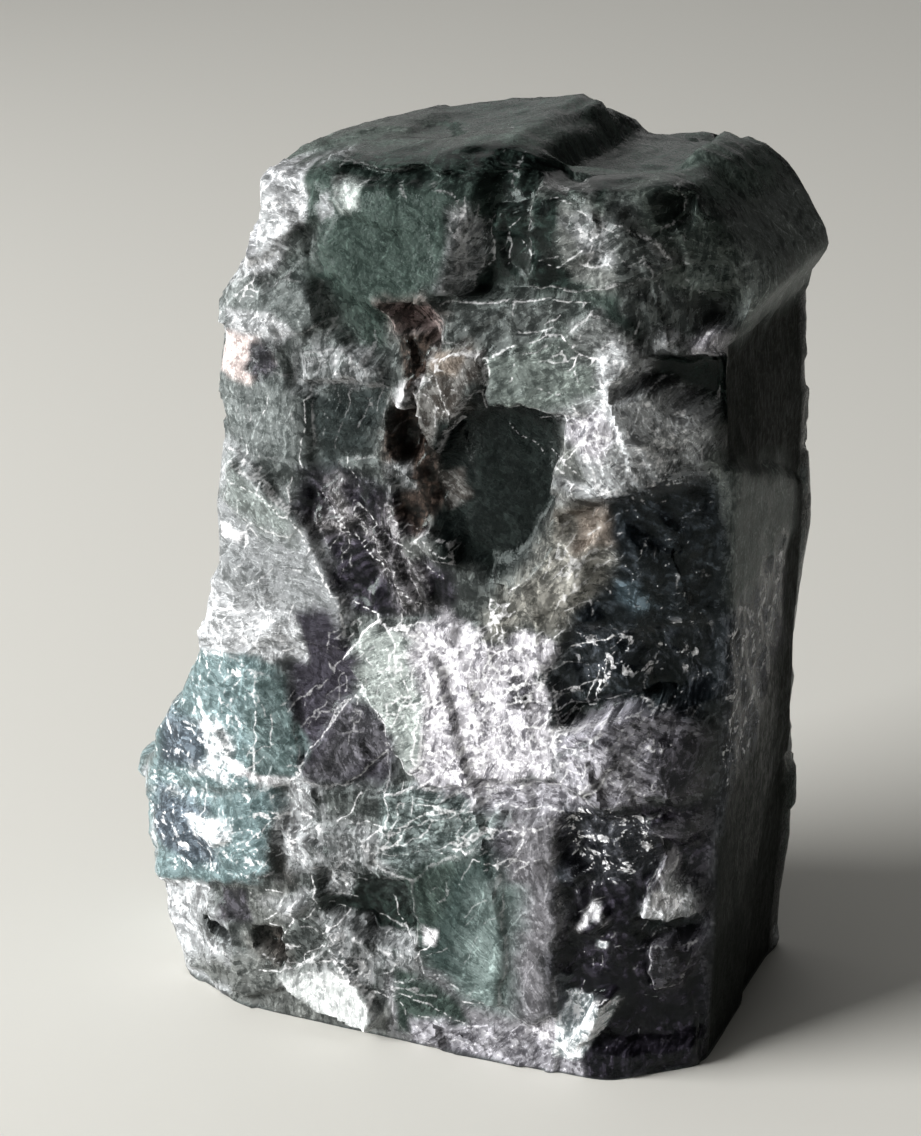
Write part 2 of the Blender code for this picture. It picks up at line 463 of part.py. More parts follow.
def thin_out(obj, triangles):
    """A copy of the object's mesh with about the given number of triangles."""
    faces = sum(len(face.vertices) - 2 for face in obj.data.polygons)
    decimate = obj.modifiers.new("Thin out", "DECIMATE")
    decimate.ratio = triangles / faces
    depsgraph = bpy.context.evaluated_depsgraph_get()
    thinned = bpy.data.meshes.new_from_object(obj.evaluated_get(depsgraph))
    obj.modifiers.clear()
    return thinned


def close_base(mesh):
    """Brings the open rim down to z = 0 and closes it with one flat face, cut into triangles."""
    work = bmesh.new()
    work.from_mesh(mesh)
    rim = [edge for edge in work.edges if edge.is_boundary]
    for corner in {corner for edge in rim for corner in edge.verts}:
        corner.co.z = 0.0
    bmesh.ops.holes_fill(work, edges=rim, sides=0)
    bmesh.ops.recalc_face_normals(work, faces=work.faces)
    bmesh.ops.triangulate(work, faces=work.faces, quad_method="BEAUTY", ngon_method="BEAUTY")
    work.to_mesh(mesh)
    work.free()


def centre_on_origin(mesh):
    """Moves the mesh level so that the middle of its bounding box stands over the origin."""
    corners = np.empty(len(mesh.vertices) * 3, np.float32)
    mesh.vertices.foreach_get("co", corners)
    corners = corners.reshape(-1, 3)
    middle = (corners.min(axis=0) + corners.max(axis=0)) / 2
    corners[:, :2] -= middle[:2]
    mesh.vertices.foreach_set("co", corners.ravel())
    mesh.update()


def fluorite_material():
    """Dark bottle-green, glassy mineral."""
    material = bpy.data.materials.new("fluorite")
    material.use_nodes = True
    shader = material.node_tree.nodes["Principled BSDF"]
    shader.inputs["Base Color"].default_value = (0.10, 0.16, 0.14, 1.0)
    shader.inputs["Roughness"].default_value = 0.3
    shader.inputs["Metallic"].default_value = 0.0
    shader.inputs["IOR"].default_value = 1.434
    return material


def build_block():
    """The block as one object: its surface, thinned out, closed underneath and centred."""
    points, quads = block_surface(SPACING)
    mesh = bpy.data.meshes.new(NAME)
    mesh.from_pydata((points * MM).tolist(), [], quads.tolist())
    block = bpy.data.objects.new(NAME, mesh)
    bpy.context.scene.collection.objects.link(block)
    block.data = thin_out(block, TRIANGLES)
    bpy.data.meshes.remove(mesh)
    block.data.name = NAME
    close_base(block.data)
    centre_on_origin(block.data)
    block.data.materials.append(fluorite_material())
    return block


for leftover in list(bpy.data.objects):
    bpy.data.objects.remove(leftover)
build_block()
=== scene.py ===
"""The looks of a standing block of massive fluorite: its fine surface, its clear mineral and the light.

The block is one closed surface, worked out as in the solid and then finer. Rays leave a slim core box
in all directions but down, end at the nearest wall, and are moved in or out by flakes and facets.
Lengths in the tables are millimetres: +X right, +Y back and +Z up, with the front wall at y = -24.
"""

import math

import bpy
import numpy as np
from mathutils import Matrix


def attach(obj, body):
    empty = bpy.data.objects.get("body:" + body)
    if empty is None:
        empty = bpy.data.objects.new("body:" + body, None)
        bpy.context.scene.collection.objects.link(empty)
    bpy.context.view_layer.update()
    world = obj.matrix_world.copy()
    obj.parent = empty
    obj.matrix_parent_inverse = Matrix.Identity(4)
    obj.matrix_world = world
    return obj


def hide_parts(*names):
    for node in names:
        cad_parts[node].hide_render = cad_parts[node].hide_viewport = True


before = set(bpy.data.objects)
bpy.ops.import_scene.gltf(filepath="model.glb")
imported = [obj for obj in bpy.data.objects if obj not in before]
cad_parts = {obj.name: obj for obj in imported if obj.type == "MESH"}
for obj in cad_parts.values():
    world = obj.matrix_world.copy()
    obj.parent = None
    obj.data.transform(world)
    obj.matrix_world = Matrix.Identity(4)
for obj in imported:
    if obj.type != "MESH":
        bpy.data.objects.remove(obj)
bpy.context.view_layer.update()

MM = 0.001
NODE = "fluorite_block"

# The walls of the block, then the core box that the rays start from.
FRONT = -24.0
BACK = 25.0
LEFT = -38.0
RIGHT = 38.0
TOP = 119.0
CORE_LEFT, CORE_RIGHT = -14.0, 24.0
CORE_FRONT, CORE_BACK = -9.0, 10.0
CORE_TOP = 104.0
LONGEST_RAY = 60.0

# How close the rays are set. The faces of the other sides join two by two cells of them in one.
FINE_SPACING = 0.4

# The left edge as seen from the front: height, then how far left it reaches. It has two lumps, at 16
# to 24 and at 27 to 36. Its wall spreads out to the back from a place in y, by a share of the way.
LEFT_EDGE = ((0, 37), (7, 39.5), (16, 42), (21, 42), (24.5, 40.8), (27, 43), (30, 42.6), (36, 39.5),
             (43.5, 35.5), (50, 31.5), (53, 32), (58, 30), (64, 28), (72, 28.3), (80, 27), (91, 27.6),
             (99, 26.8), (106, 22.4), (110.5, 21.3), (115, 20.6), (119.5, 17.3))
LEFT_EDGE_Y = -22.0
LEFT_SPREAD = 0.2

# The right wall: height, then how far right. Nearly flat, with a lobe that overhangs at 100 to 106.
RIGHT_EDGE = ((0, 37.4), (14, 38), (37, 38.6), (81, 38.8), (88, 38.4), (94, 37.6), (97, 37.8),
              (100, 38.8), (103.5, 41.4), (106, 40.6), (109.5, 38), (112, 35.8), (116, 32.2), (120, 25))

# The ridge of the top: how far right, then its height. It has a notch right of its highest point. The
# top rises to the back by a share of the way.
TOP_RIDGE = ((-30, 114.5), (-16, 118), (-8, 118.8), (2, 119.6), (9, 121), (12.4, 119.8), (16, 117.6),
             (25, 117.4), (31, 117.8), (36, 115.6))
TOP_RISE = 0.04

# Plain cleavage walls: a point on each, and the way it faces.
CLEAVAGES = (
    ("front", (0, FRONT, 0), (0, -1, 0)),
    ("back", (0, BACK, 60), (0.03, 1, -0.02)),
    ("front right edge", (30, -21.5, 0), (0.67, -0.75, 0)),
    ("front left edge", (-28, -22.6, 0), (-0.435, -0.9, 0)),
    ("top front slope", (0, FRONT, 115.5), (0, -0.45, 0.89)),
    ("back left edge", (-34, 14, 40), (-0.75, 0.66, 0.06)),
    ("back right edge", (38.5, 24.1, 30), (0.6, 0.8, 0.05)),
    ("top back slope", (4, 15, 120), (0.05, 0.5, 0.87)),
    ("top left back", (-24, 16, 104), (-0.6, 0.45, 0.66)),
)

# Three fields of chips: spacing, step, tilt, how hollow, and seed. The wide one is all over, but three
# sides keep only a share of it. The others roughen a face by how crumbly its finish is. All of them
# are drawn out along one grain.
FACET_GRAIN = (0.55, 0.35, -0.75)
FACET_STRETCH = 2.2
WIDE_CHIPS = (9.0, 0.35, 0.12, 0.05, 11)
MIDDLE_CHIPS = (3.0, 0.20, 0.22, 0.16, 23)
SMALL_CHIPS = (1.4, 0.09, 0.20, 0.18, 37)
FACET_SHARES = {"front": 0.5, "right": 0.10, "top": 0.25}

# Each finish: body colour, milk (0 clear, 1 not see-through), veil colour, frost (the share of a
# face that is frosted), flecks (how many bright specks: white crumbs and painted glints), crumble
# (how rough), rim (how bright its broken edge is). Then where each of them stands in a row of numbers.
FINISHES = {
    # Dark clear mineral that also paints the shade in hollows, holes and under overhangs.
    "black glass": ((0.008, 0.014, 0.012), 0.10, (0.018, 0.027, 0.024), 0.40, 0.05, 0.35, 0.05),
    # Near black that paints the shade of the right wall, which faces away from the light.
    "painted shade black": ((0.006, 0.008, 0.007), 0.95, (0.016, 0.017, 0.015), 0.40, 0.00, 0.15, 0.0),
    "top green": ((0.044, 0.060, 0.053), 0.85, (0.092, 0.115, 0.104), 0.45, 0.03, 0.5, 0.1),
    # Smoky grey, lightened to paint light on the right wall, which the lamps hardly reach.
    "smoky side and painted light": ((0.065, 0.076, 0.074), 0.92, (0.17, 0.188, 0.182), 0.45, 0.08, 0.3, 0.1),
    "glinting side": ((0.016, 0.020, 0.026), 0.80, (0.16, 0.172, 0.195), 0.30, 0.50, 0.6, 0.1),
    "purple side": ((0.036, 0.036, 0.042), 0.92, (0.085, 0.084, 0.095), 0.42, 0.10, 0.4, 0.1),
    # Near black that paints the shade on the lower right wall.
    "painted shade side": ((0.010, 0.012, 0.011), 0.92, (0.026, 0.029, 0.027), 0.42, 0.03, 0.2, 0.0),
    "brown black": ((0.020, 0.014, 0.012), 0.20, (0.060, 0.045, 0.038), 0.40, 0.10, 1.0, 0.0),
    "brown grains": ((0.045, 0.027, 0.024), 0.40, (0.42, 0.32, 0.31), 0.46, 0.36, 2.4, 0.1),
    "purple black": ((0.015, 0.013, 0.021), 0.15, (0.060, 0.054, 0.074), 0.26, 0.24, 0.8, 0.1),
    "blue black": ((0.010, 0.015, 0.021), 0.20, (0.060, 0.072, 0.084), 0.30, 0.34, 0.8, 0.0),
    "speckled blue": ((0.011, 0.016, 0.022), 0.20, (0.074, 0.084, 0.098), 0.32, 0.40, 0.9, 0.0),
    "slate blue": ((0.045, 0.060, 0.078), 0.50, (0.125, 0.155, 0.185), 0.44, 0.45, 0.7, 0.3),
    "glinting blue": ((0.020, 0.022, 0.030), 0.25, (0.11, 0.115, 0.132), 0.34, 0.52, 0.9, 0.0),
    "speckled black": ((0.004, 0.006, 0.006), 0.55, (0.011, 0.015, 0.014), 0.40, 0.10, 0.3, 0.0),
    "deep green": ((0.026, 0.040, 0.035), 0.50, (0.050, 0.070, 0.062), 0.42, 0.05, 0.3, 0.3),
    "window green": ((0.014, 0.019, 0.019), 0.50, (0.026, 0.033, 0.033), 0.42, 0.06, 0.15, 0.3),
    "dome green": ((0.027, 0.041, 0.036), 0.70, (0.042, 0.060, 0.053), 0.45, 0.06, 0.2, 0.4),
    "deep teal": ((0.019, 0.031, 0.029), 0.70, (0.036, 0.053, 0.050), 0.42, 0.06, 0.15, 0.3),
    "bright teal": ((0.080, 0.110, 0.105), 0.75, (0.155, 0.195, 0.19), 0.45, 0.06, 0.15, 0.3),
    "striped green": ((0.048, 0.067, 0.065), 0.50, (0.185, 0.22, 0.22), 0.45, 0.22, 0.6, 0.8),
    "teal": ((0.10, 0.150, 0.155), 0.65, (0.20, 0.27, 0.285), 0.42, 0.42, 0.7, 0.8),
    "teal plate": ((0.075, 0.115, 0.115), 0.55, (0.17, 0.225, 0.23), 0.42, 0.28, 0.6, 0.8),
    "green plate": ((0.070, 0.084, 0.079), 0.65, (0.140, 0.162, 0.152), 0.50, 0.10, 0.3, 0.8),
    "kite green": ((0.14, 0.162, 0.157), 0.78, (0.32, 0.352, 0.343), 0.50, 0.16, 0.25, 1.0),
    "grey plate": ((0.065, 0.070, 0.070), 0.65, (0.17, 0.18, 0.18), 0.48, 0.16, 0.7, 0.8),
    "smoky plate": ((0.038, 0.044, 0.043), 0.45, (0.090, 0.10, 0.098), 0.45, 0.12, 0.6, 0.4),
    "smoky streaks": ((0.030, 0.040, 0.036), 0.60, (0.095, 0.110, 0.101), 0.40, 0.05, 0.4, 0.2),
    "brown plate": ((0.066, 0.056, 0.050), 0.50, (0.18, 0.18, 0.175), 0.46, 0.14, 0.8, 0.9),
    "frosted grey": ((0.048, 0.053, 0.051), 0.70, (0.125, 0.132, 0.128), 0.52, 0.20, 0.6, 0.5),
    "speckled grey": ((0.070, 0.082, 0.081), 0.70, (0.145, 0.16, 0.16), 0.50, 0.22, 0.6, 0.4),
    "crumbled grey": ((0.060, 0.068, 0.068), 0.60, (0.27, 0.28, 0.29), 0.44, 0.38, 1.4, 0.4),
    "crumbled white": ((0.18, 0.19, 0.195), 0.82, (0.44, 0.45, 0.47), 0.52, 0.40, 1.1, 0.5),
    "white break": ((0.14, 0.145, 0.15), 0.75, (0.37, 0.385, 0.40), 0.50, 0.42, 1.1, 0.5),
    "lilac white": ((0.13, 0.127, 0.145), 0.80, (0.47, 0.46, 0.495), 0.54, 0.46, 0.8, 0.9),
    "broken lilac": ((0.10, 0.097, 0.112), 0.65, (0.36, 0.355, 0.39), 0.48, 0.36, 1.1, 0.9),
    "lilac block": ((0.070, 0.068, 0.080), 0.60, (0.27, 0.265, 0.30), 0.44, 0.30, 0.9, 0.8),
    "lilac band": ((0.11, 0.108, 0.118), 0.70, (0.21, 0.207, 0.225), 0.50, 0.08, 0.35, 0.3),
    "purple glass": ((0.026, 0.023, 0.032), 0.60, (0.050, 0.047, 0.061), 0.42, 0.06, 0.25, 0.3),
    "purple plate": ((0.040, 0.039, 0.046), 0.45, (0.105, 0.103, 0.117), 0.45, 0.10, 0.6, 0.6),
    "purple lump": ((0.026, 0.025, 0.031), 0.35, (0.075, 0.072, 0.085), 0.40, 0.07, 0.4, 0.5),
    "grey slab": ((0.13, 0.139, 0.142), 0.85, (0.23, 0.24, 0.25), 0.50, 0.06, 0.15, 0.7),
    "smooth slab": ((0.12, 0.135, 0.13), 0.80, (0.20, 0.225, 0.22), 0.45, 0.03, 0.15, 0.6),
    "blade": ((0.060, 0.056, 0.055), 0.45, (0.26, 0.255, 0.26), 0.45, 0.10, 0.3, 0.35),
    "warm pale": ((0.095, 0.095, 0.086), 0.55, (0.24, 0.235, 0.215), 0.50, 0.14, 0.7, 0.2),
    "brown stain": ((0.12, 0.098, 0.080), 0.70, (0.23, 0.200, 0.176), 0.45, 0.08, 0.7, 0.1),
    "pink stain": ((0.38, 0.32, 0.31), 0.85, (0.64, 0.55, 0.535), 0.55, 0.20, 0.9, 0.2),
    "pale wedge": ((0.30, 0.32, 0.32), 0.88, (0.50, 0.52, 0.52), 0.55, 0.12, 0.25, 0.9),
    "blue glint": ((0.060, 0.090, 0.11), 0.45, (0.20, 0.27, 0.32), 0.45, 0.25, 0.5, 0.0),
    # White splinters, and painted glints where light flashes off a facet.
    "bright splinter": ((0.30, 0.30, 0.31), 0.85, (0.80, 0.80, 0.83), 0.55, 0.30, 0.6, 0.8),
    "glint": ((0.20, 0.24, 0.25), 0.80, (0.80, 0.82, 0.85), 0.42, 0.80, 0.6, 0.5),
    "sawn base": ((0.050, 0.055, 0.055), 0.90, (0.022, 0.032, 0.029), 0.15, 0.00, 0.0, 0.0),
}
TINT, MILK, VEIL, FROST, FLECKS, CRUMBLE, RIM = slice(0, 3), 3, slice(4, 7), 7, 8, 9, 10

# Flakes on the front, in the order in which they lie. Each has a name, a finish, its level out from
# the wall, the width of its step, its slope to the right and upward, and its outline as (right, up)
# corners. The hollows, holes, recesses and the slot take dark finishes, which also paint the shade in
# them.
FRONT_FLAKES = (
    ("left face", "speckled grey", 0.0, 1.5, (0.04, 0),
     ((-29, 94), (-15, 90), (-15, 79), (-20, 79), (-29, 81))),
    ("low left facet", "speckled grey", 0.9, 0.8, (0.06, 0.05),
     ((-28, 99.5), (-20, 103.5), (-15, 103), (-11.5, 99.5), (-11.5, 97.5), (-14.5, 95.5), (-28, 96))),
    ("shoulder", "dome green", 0.5, 1.0, (0.05, -0.08),
     ((-22, 104), (-14, 110), (-9, 113), (-10, 118), (-15, 121), (-21, 112))),
    ("slanting groove", "smoky plate", -0.3, 1.2, (0, 0),
     ((-9.5, 112), (-9.5, 109.5), (-19, 101.5), (-21.5, 103.5), (-14, 109.5))),
    ("hollow under the dome", "deep green", -1.8, 1.0, (0, 0.1),
     ((-13, 103), (-7, 102), (-3.5, 100.5), (-3.5, 94), (-9, 94.5), (-12, 98))),
    ("square recess", "black glass", -3.4, 1.4, (0.1, 0),
     ((6, 101.8), (6.4, 107), (8.6, 113), (10, 117), (17, 118), (16, 111), (15.6, 103.5))),
    ("recess wall", "black glass", -2.0, 0.9, (-0.1, 0.15),
     ((10, 110), (10.2, 113), (15, 114.2), (14.3, 109.8))),
    ("dome face", "dome green", 2.0, 2.6, (-0.04, -0.1),
     ((-11.6, 106), (-11.4, 110.5), (-9, 114), (-5, 116), (2, 116.2), (6, 114.4), (7.6, 110),
      (7, 105), (4.6, 101.4), (0.6, 99.8), (-4.6, 99.8), (-9.4, 102.2))),
    ("dome cap", "deep green", 1.4, 1.4, (-0.05, -0.3),
     ((-11, 118), (-10.5, 121.5), (0, 123), (4.8, 119.5), (4.3, 116.8), (-3, 117))),
    ("shadow line", "black glass", -1.4, 0.7, (0, 0),
     ((-9.5, 115.6), (-9.5, 116.8), (4, 116.9), (4, 116))),
    ("frosted plate", "frosted grey", 0.6, 0.7, (0.03, 0.04),
     ((15, 116.4), (25, 115.6), (28, 112), (33, 108), (30, 106), (25, 105.2), (15, 104.3))),
    ("lobe back", "smoky streaks", -0.8, 1.2, (0.02, -0.05),
     ((25.5, 116), (27, 122), (31, 122), (39, 111), (44, 104), (38, 103), (33, 108.4), (28.5, 111.5))),
    ("lobe face", "deep green", 0.4, 1.2, (-0.06, -0.02),
     ((28, 123), (30, 118), (36, 112.5), (45, 109), (46, 123))),
    ("lobe hole", "black glass", -4.0, 1.2, (0, 0), ((30.3, 115), (33, 115), (33, 112), (30.8, 111.8))),
    ("ledge top", "smoky plate", 0.2, 0.8, (0.02, -0.1),
     ((4, 102), (20, 103.4), (24, 102.2), (20, 99.3), (10, 96.4), (4, 97))),
    ("small lump", "frosted grey", 1.0, 1.5, (0, 0),
     ((35, 105.5), (39, 106.3), (39, 103.8), (36, 103.3))),
    ("dark hole", "black glass", -3.6, 1.0, (0, 0),
     ((34.5, 103.4), (39, 103.8), (39, 100.3), (35, 99.6))),
    ("brow lumps", "crumbled grey", 1.6, 1.2, (0, 0.1),
     ((33.8, 97.4), (36.4, 100.2), (38.6, 99.3), (38.6, 96.5), (36, 95.6))),
    ("brow lump left", "crumbled white", 1.0, 0.9, (0, 0.1),
     ((30.8, 99.3), (32.2, 99.3), (33.6, 97.5), (31, 96.5))),
    ("hollow under the lobe", "black glass", -4.2, 1.6, (0, 0.1),
     ((28, 92.8), (29.6, 95.8), (34, 96), (48, 95), (48, 84.6), (39, 84.2), (36, 88.4), (32.4, 91.6))),
    ("mineral pocket", "brown grains", -2.6, 1.0, (0, 0),
     ((-2.6, 100.3), (2.4, 101), (3.6, 99.2), (3, 96.5), (-1.5, 97.2))),
    ("crumbly ledge", "crumbled grey", 1.0, 0.7, (0, -0.1),
     ((-15, 93.4), (-11, 94.2), (-7, 93.6), (-4, 93), (-4, 91), (-9.6, 90.6), (-15, 90))),
    ("window", "window green", -0.5, 0.5, (0.02, 0.02),
     ((-13.8, 90), (-3.1, 90.6), (-3.6, 86), (-5, 81), (-10, 80), (-10.6, 77), (-13, 76), (-13.6, 79))),
    ("hollow under the hook", "brown black", -3.2, 1.2, (0, 0),
     ((-2.3, 87.5), (1.4, 88), (1.8, 85), (0.2, 81.7), (-2.5, 83))),
    ("dark bowl", "speckled black", -2.6, 3.0, (-0.03, 0),
     ((4, 87), (10, 89.5), (19.4, 88), (19.4, 80), (18, 75), (14.6, 70), (10, 68), (5.5, 70.5), (3.5, 77))),
    ("wedge plate", "brown plate", 1.9, 0.5, (-0.06, 0.05),
     ((2, 94.2), (6, 96), (9.8, 96.4), (9.8, 92), (5.5, 87.6), (3.6, 83), (0.4, 87), (1.6, 91.6))),
    ("hook", "bright splinter", 1.5, 0.5, (0, 0.1),
     ((-2.1, 88.4), (-0.6, 90.6), (1.2, 92.2), (0.4, 89.6), (-1, 88))),
    ("pale plate", "green plate", 1.7, 0.5, (0.02, -0.04),
     ((10.2, 95.8), (14, 97.5), (20.2, 99.5), (27.4, 95), (25.8, 90.6), (20.3, 89.6), (10.4, 90))),
    ("pale plate right", "grey plate", 1.0, 0.5, (-0.12, 0.06),
     ((20.2, 99.5), (24, 102.2), (28.5, 100), (29.2, 96.4), (27.4, 95), (22.2, 97.6))),
    ("white fracture", "white break", 1.3, 0.8, (-0.02, 0.04),
     ((20, 89.6), (29, 92.6), (31.4, 92), (34.4, 90), (36.2, 87.4), (38.4, 84.2), (37.6, 82.8), (31, 81.6),
      (25, 78.7), (18, 79.5), (20, 85))),
    ("white fracture flake", "grey plate", 0.6, 0.5, (0.08, -0.12),
     ((30, 84.6), (32, 82.4), (38, 82.2), (37, 85.4), (33, 86.6))),
    ("slab shadow", "purple black", -0.6, 1.0, (0.02, 0),
     ((-15, 78), (-10, 76), (-3, 71), (-6, 62), (-10, 61.5), (-12, 66.5), (-14, 71.4))),
    ("slanting slab", "grey slab", 0.9, 0.5, (-0.01, -0.02),
     ((-31, 80.4), (-24.6, 80.2), (-19.4, 76), (-14, 70.9), (-11.4, 66.2), (-9.4, 62), (-9.6, 55),
      (-17, 55.5), (-22, 60), (-31, 60))),
    ("slab upper face", "smooth slab", 1.5, 0.5, (-0.02, 0.07),
     ((-25, 79), (-19.8, 75.6), (-14.6, 70.9), (-16, 69.4), (-21.2, 70.2), (-26, 73))),
    ("upper blade", "blade", 0.5, 0.5, (0.1, 0.1), ((-13, 75.5), (-9.8, 77), (-6.5, 73.8), (-9, 72.3))),
    ("lower blade", "blade", 0.1, 0.4, (0.1, 0.1),
     ((-12.8, 72.8), (-8.3, 72.4), (-9, 70.6), (-13.5, 71))),
    ("long blade", "blade", 1.2, 0.4, (0.15, 0), ((-6, 72.4), (-4.6, 72), (1, 62.8), (-0.9, 62))),
    ("second blade", "blade", 0.5, 0.4, (0.2, 0), ((-3.6, 75), (-2.4, 74.6), (3.4, 63), (1.4, 63))),
    ("tip wedge", "frosted grey", 1.2, 0.5, (0.05, 0.1),
     ((0.4, 70.4), (2.6, 72.6), (5.2, 70.6), (6.2, 68.1), (2.8, 69.1))),
    ("low pale band", "warm pale", 0.4, 1.2, (0, 0),
     ((19, 79), (24, 77), (25, 72), (22.5, 66), (18, 61.5), (10, 60.5), (12, 64.5), (17, 69))),
    ("stain pocket", "brown stain", -1.6, 0.9, (0, 0),
     ((20.4, 77), (25, 77.8), (24.6, 75), (23.2, 72.9), (20.5, 74))),
    ("dark field", "blue black", -1.2, 1.6, (0.02, 0),
     ((25.6, 78.6), (38, 81.5), (40, 70), (38, 62), (25, 62), (22.8, 65), (24.6, 72))),
    ("lower dark field", "speckled blue", -1.8, 1.6, (0, -0.04),
     ((21, 61.6), (38, 62), (38, 53.5), (28, 52.6), (18.6, 50.6), (19, 55))),
    ("hollow over the ledge", "black glass", -3.4, 1.0, (0, 0),
     ((18, 50.8), (28, 53), (33, 53.8), (28, 51.1), (24.7, 49.7), (18.4, 48.5))),
    ("crumbly top left", "crumbled white", 0.7, 1.4, (0, 0),
     ((-32, 59), (-25, 61), (-16, 60), (-16, 57), (-25, 51.6), (-32, 50.5))),
    ("sunk field", "purple glass", -0.6, 0.9, (-0.03, 0.02),
     ((-17.4, 55.6), (-10, 54), (-9, 52), (-5.4, 46.8), (-3.5, 42.5), (-3.5, 36), (-16, 35), (-17.6, 43),
      (-17.6, 50))),
    ("sunk field plate", "purple plate", 0.1, 0.4, (-0.06, 0),
     ((-8, 48.6), (-10.8, 46.6), (-12.8, 42.9), (-16.8, 35.5), (-9.5, 35.6), (-3.5, 42), (-5.4, 46.6))),
    ("white field", "lilac white", 0.9, 0.9, (0, 0.01),
     ((-3, 58.6), (1, 59.8), (4, 60.4), (9, 59.6), (14.6, 58.8), (17.4, 56.4), (19.2, 50), (19.8, 41.5),
      (10, 39.6), (1.4, 37.4), (-2, 44))),
    ("kite plate", "kite green", 1.3, 0.4, (-0.06, -0.02),
     ((-9.2, 54), (-7.1, 57), (-4.5, 59.9), (-0.6, 59.5), (2, 56.4), (2.6, 52.4), (1.8, 46), (1.2, 40.4),
      (0, 39), (-2.6, 43.2), (-4.6, 47.4), (-8, 52.6))),
    ("upper lump", "teal", 1.4, 1.6, (-0.05, -0.02),
     ((-32, 50.4), (-25.5, 51.6), (-19.2, 49.6), (-18.2, 46), (-16.8, 36.5), (-19.5, 34.1), (-35, 30.1),
      (-45, 27), (-45, 36))),
    ("upper lump right", "teal plate", 0.7, 0.5, (-0.16, 0.02),
     ((-22, 50.6), (-18.6, 49.6), (-17, 46), (-16, 36.5), (-18, 34.1), (-22.5, 34))),
    ("upper lump flake", "glint", 2.0, 0.4, (0.05, 0.12),
     ((-31.5, 40.8), (-28.7, 40.6), (-26, 37.6), (-31.6, 35.4))),
    ("lower lump", "teal", 1.5, 1.6, (-0.09, 0.04),
     ((-35, 29.6), (-19.5, 33.6), (-18.6, 28.3), (-20.2, 20.7), (-25, 18.8), (-30.5, 17.2), (-45, 13),
      (-45, 26.5))),
    ("lower lump bar", "glint", 2.4, 0.4, (0, 0.15),
     ((-34, 24.7), (-28.5, 26.4), (-26.4, 25.6), (-29.3, 23.9))),
    ("crack", "brown black", -0.6, 0.6, (0, 0),
     ((-19.2, 27.4), (-18.4, 27.6), (-18.8, 20), (-20.2, 20.6))),
    ("broken plates", "crumbled grey", 0.9, 0.5, (0.02, 0.06),
     ((-16, 23), (-6, 23.5), (-1, 24.6), (-2, 28.6), (-8.1, 30.5), (-16, 29))),
    ("hollow under the plates", "black glass", -2.2, 0.8, (0, 0),
     ((-14, 23.2), (-2, 23.2), (0, 15), (-5, 14), (-12, 17))),
    ("striped face", "striped green", 0.7, 0.8, (-0.03, 0.05),
     ((-5, 25.5), (-3.5, 36), (1, 37.4), (10, 39.4), (13, 34), (9.8, 31.3), (0, 24.4))),
    ("green facet", "deep teal", 1.7, 0.5, (0.13, -0.02),
     ((-1, 24), (9.8, 31.3), (13, 33.6), (16.8, 33.3), (14, 26), (13.4, 22), (14.4, 13.6), (12.9, 8.2),
      (1.5, 10.2))),
    ("band beside the facet", "lilac band", 1.0, 0.8, (-0.10, 0),
     ((12.4, 26.3), (13.4, 35), (18.6, 36), (19.4, 27), (20, 19.6), (19.6, 8.6), (15, 4.6), (12.4, 7.4),
      (13.2, 13.6), (12.8, 22))),
    ("shell plate", "purple plate", 1.2, 0.6, (0, -0.1),
     ((10, 30.8), (11.2, 33.8), (14, 34.7), (15.4, 33), (15.1, 30.4), (13, 28.6))),
    ("strip under the ledge", "broken lilac", -0.9, 0.5, (0, 0),
     ((0.8, 37.2), (10, 39.4), (19.5, 40.2), (21.2, 39), (20, 36.4), (11, 35.6))),
    ("ledge block", "lilac block", 1.3, 0.6, (0, 0.04),
     ((19.6, 48.5), (24.7, 49.7), (28.2, 51.1), (34, 52), (37, 48), (37, 44.6), (36, 40.2),
      (26.7, 38.6), (19.7, 41.5))),
    ("ledge block facet", "frosted grey", 1.9, 0.4, (0.1, -0.1),
     ((19.8, 41.6), (23.4, 40.2), (27.2, 44.6), (24, 46), (19.8, 45))),
    ("rounded lump", "purple lump", 2.6, 2.4, (0, 0),
     ((31.8, 47.5), (36.8, 47.6), (37.5, 44.7), (36.1, 40.2), (32.9, 39.4), (31.3, 43.7))),
    ("lower right field", "purple black", -2.3, 1.0, (0.02, 0),
     ((20.5, 36), (30, 37), (38, 37), (38, 4), (23, 4.5), (20.4, 9), (20.6, 20), (19.8, 27), (19.8, 31))),
    ("low lump", "purple plate", 0.3, 1.4, (0, 0),
     ((30.4, 36.6), (37, 37.1), (37.1, 33.3), (33.8, 32.7), (30.4, 34.6))),
    ("small dome", "speckled blue", -0.4, 1.6, (0, 0),
     ((18, 28.8), (20.3, 30), (22.4, 28.2), (21.4, 27), (19.7, 26.3), (18, 27.4))),
    ("pale spur", "crumbled grey", 0.2, 0.6, (0.06, -0.1),
     ((29.6, 22.8), (32.4, 29.8), (34.6, 28.2), (37.2, 24.4), (37, 21.8), (31.6, 22.2))),
    ("hollow under the spur", "black glass", -3.6, 0.8, (0, 0),
     ((28.6, 21.8), (36.8, 21.4), (36.6, 18.8), (29.6, 18))),
    ("lower spur", "purple plate", -0.3, 0.6, (0.08, -0.05),
     ((30.4, 18.3), (36.9, 17.7), (35.9, 15.4), (34.3, 11.8), (31.6, 11.6))),
    ("glint plate", "bright splinter", -1.0, 0.4, (0.15, 0.1),
     ((21, 20.4), (25.4, 23.4), (25.9, 22), (22, 19.6))),
    ("bright foot", "bright splinter", 0.7, 0.6, (0.1, 0.1),
     ((25.1, 10.7), (27.5, 11.2), (22.8, 3.4), (20, 3.6))),
    ("base rim", "lilac band", 0.5, 0.8, (-0.01, -0.05),
     ((-3, 8.6), (1.5, 10), (12.9, 8), (20, 3.6), (20, -2), (8, -2), (-3, 3))),
    ("wedge crest", "crumbled white", 1.2, 0.5, (0, 0.1),
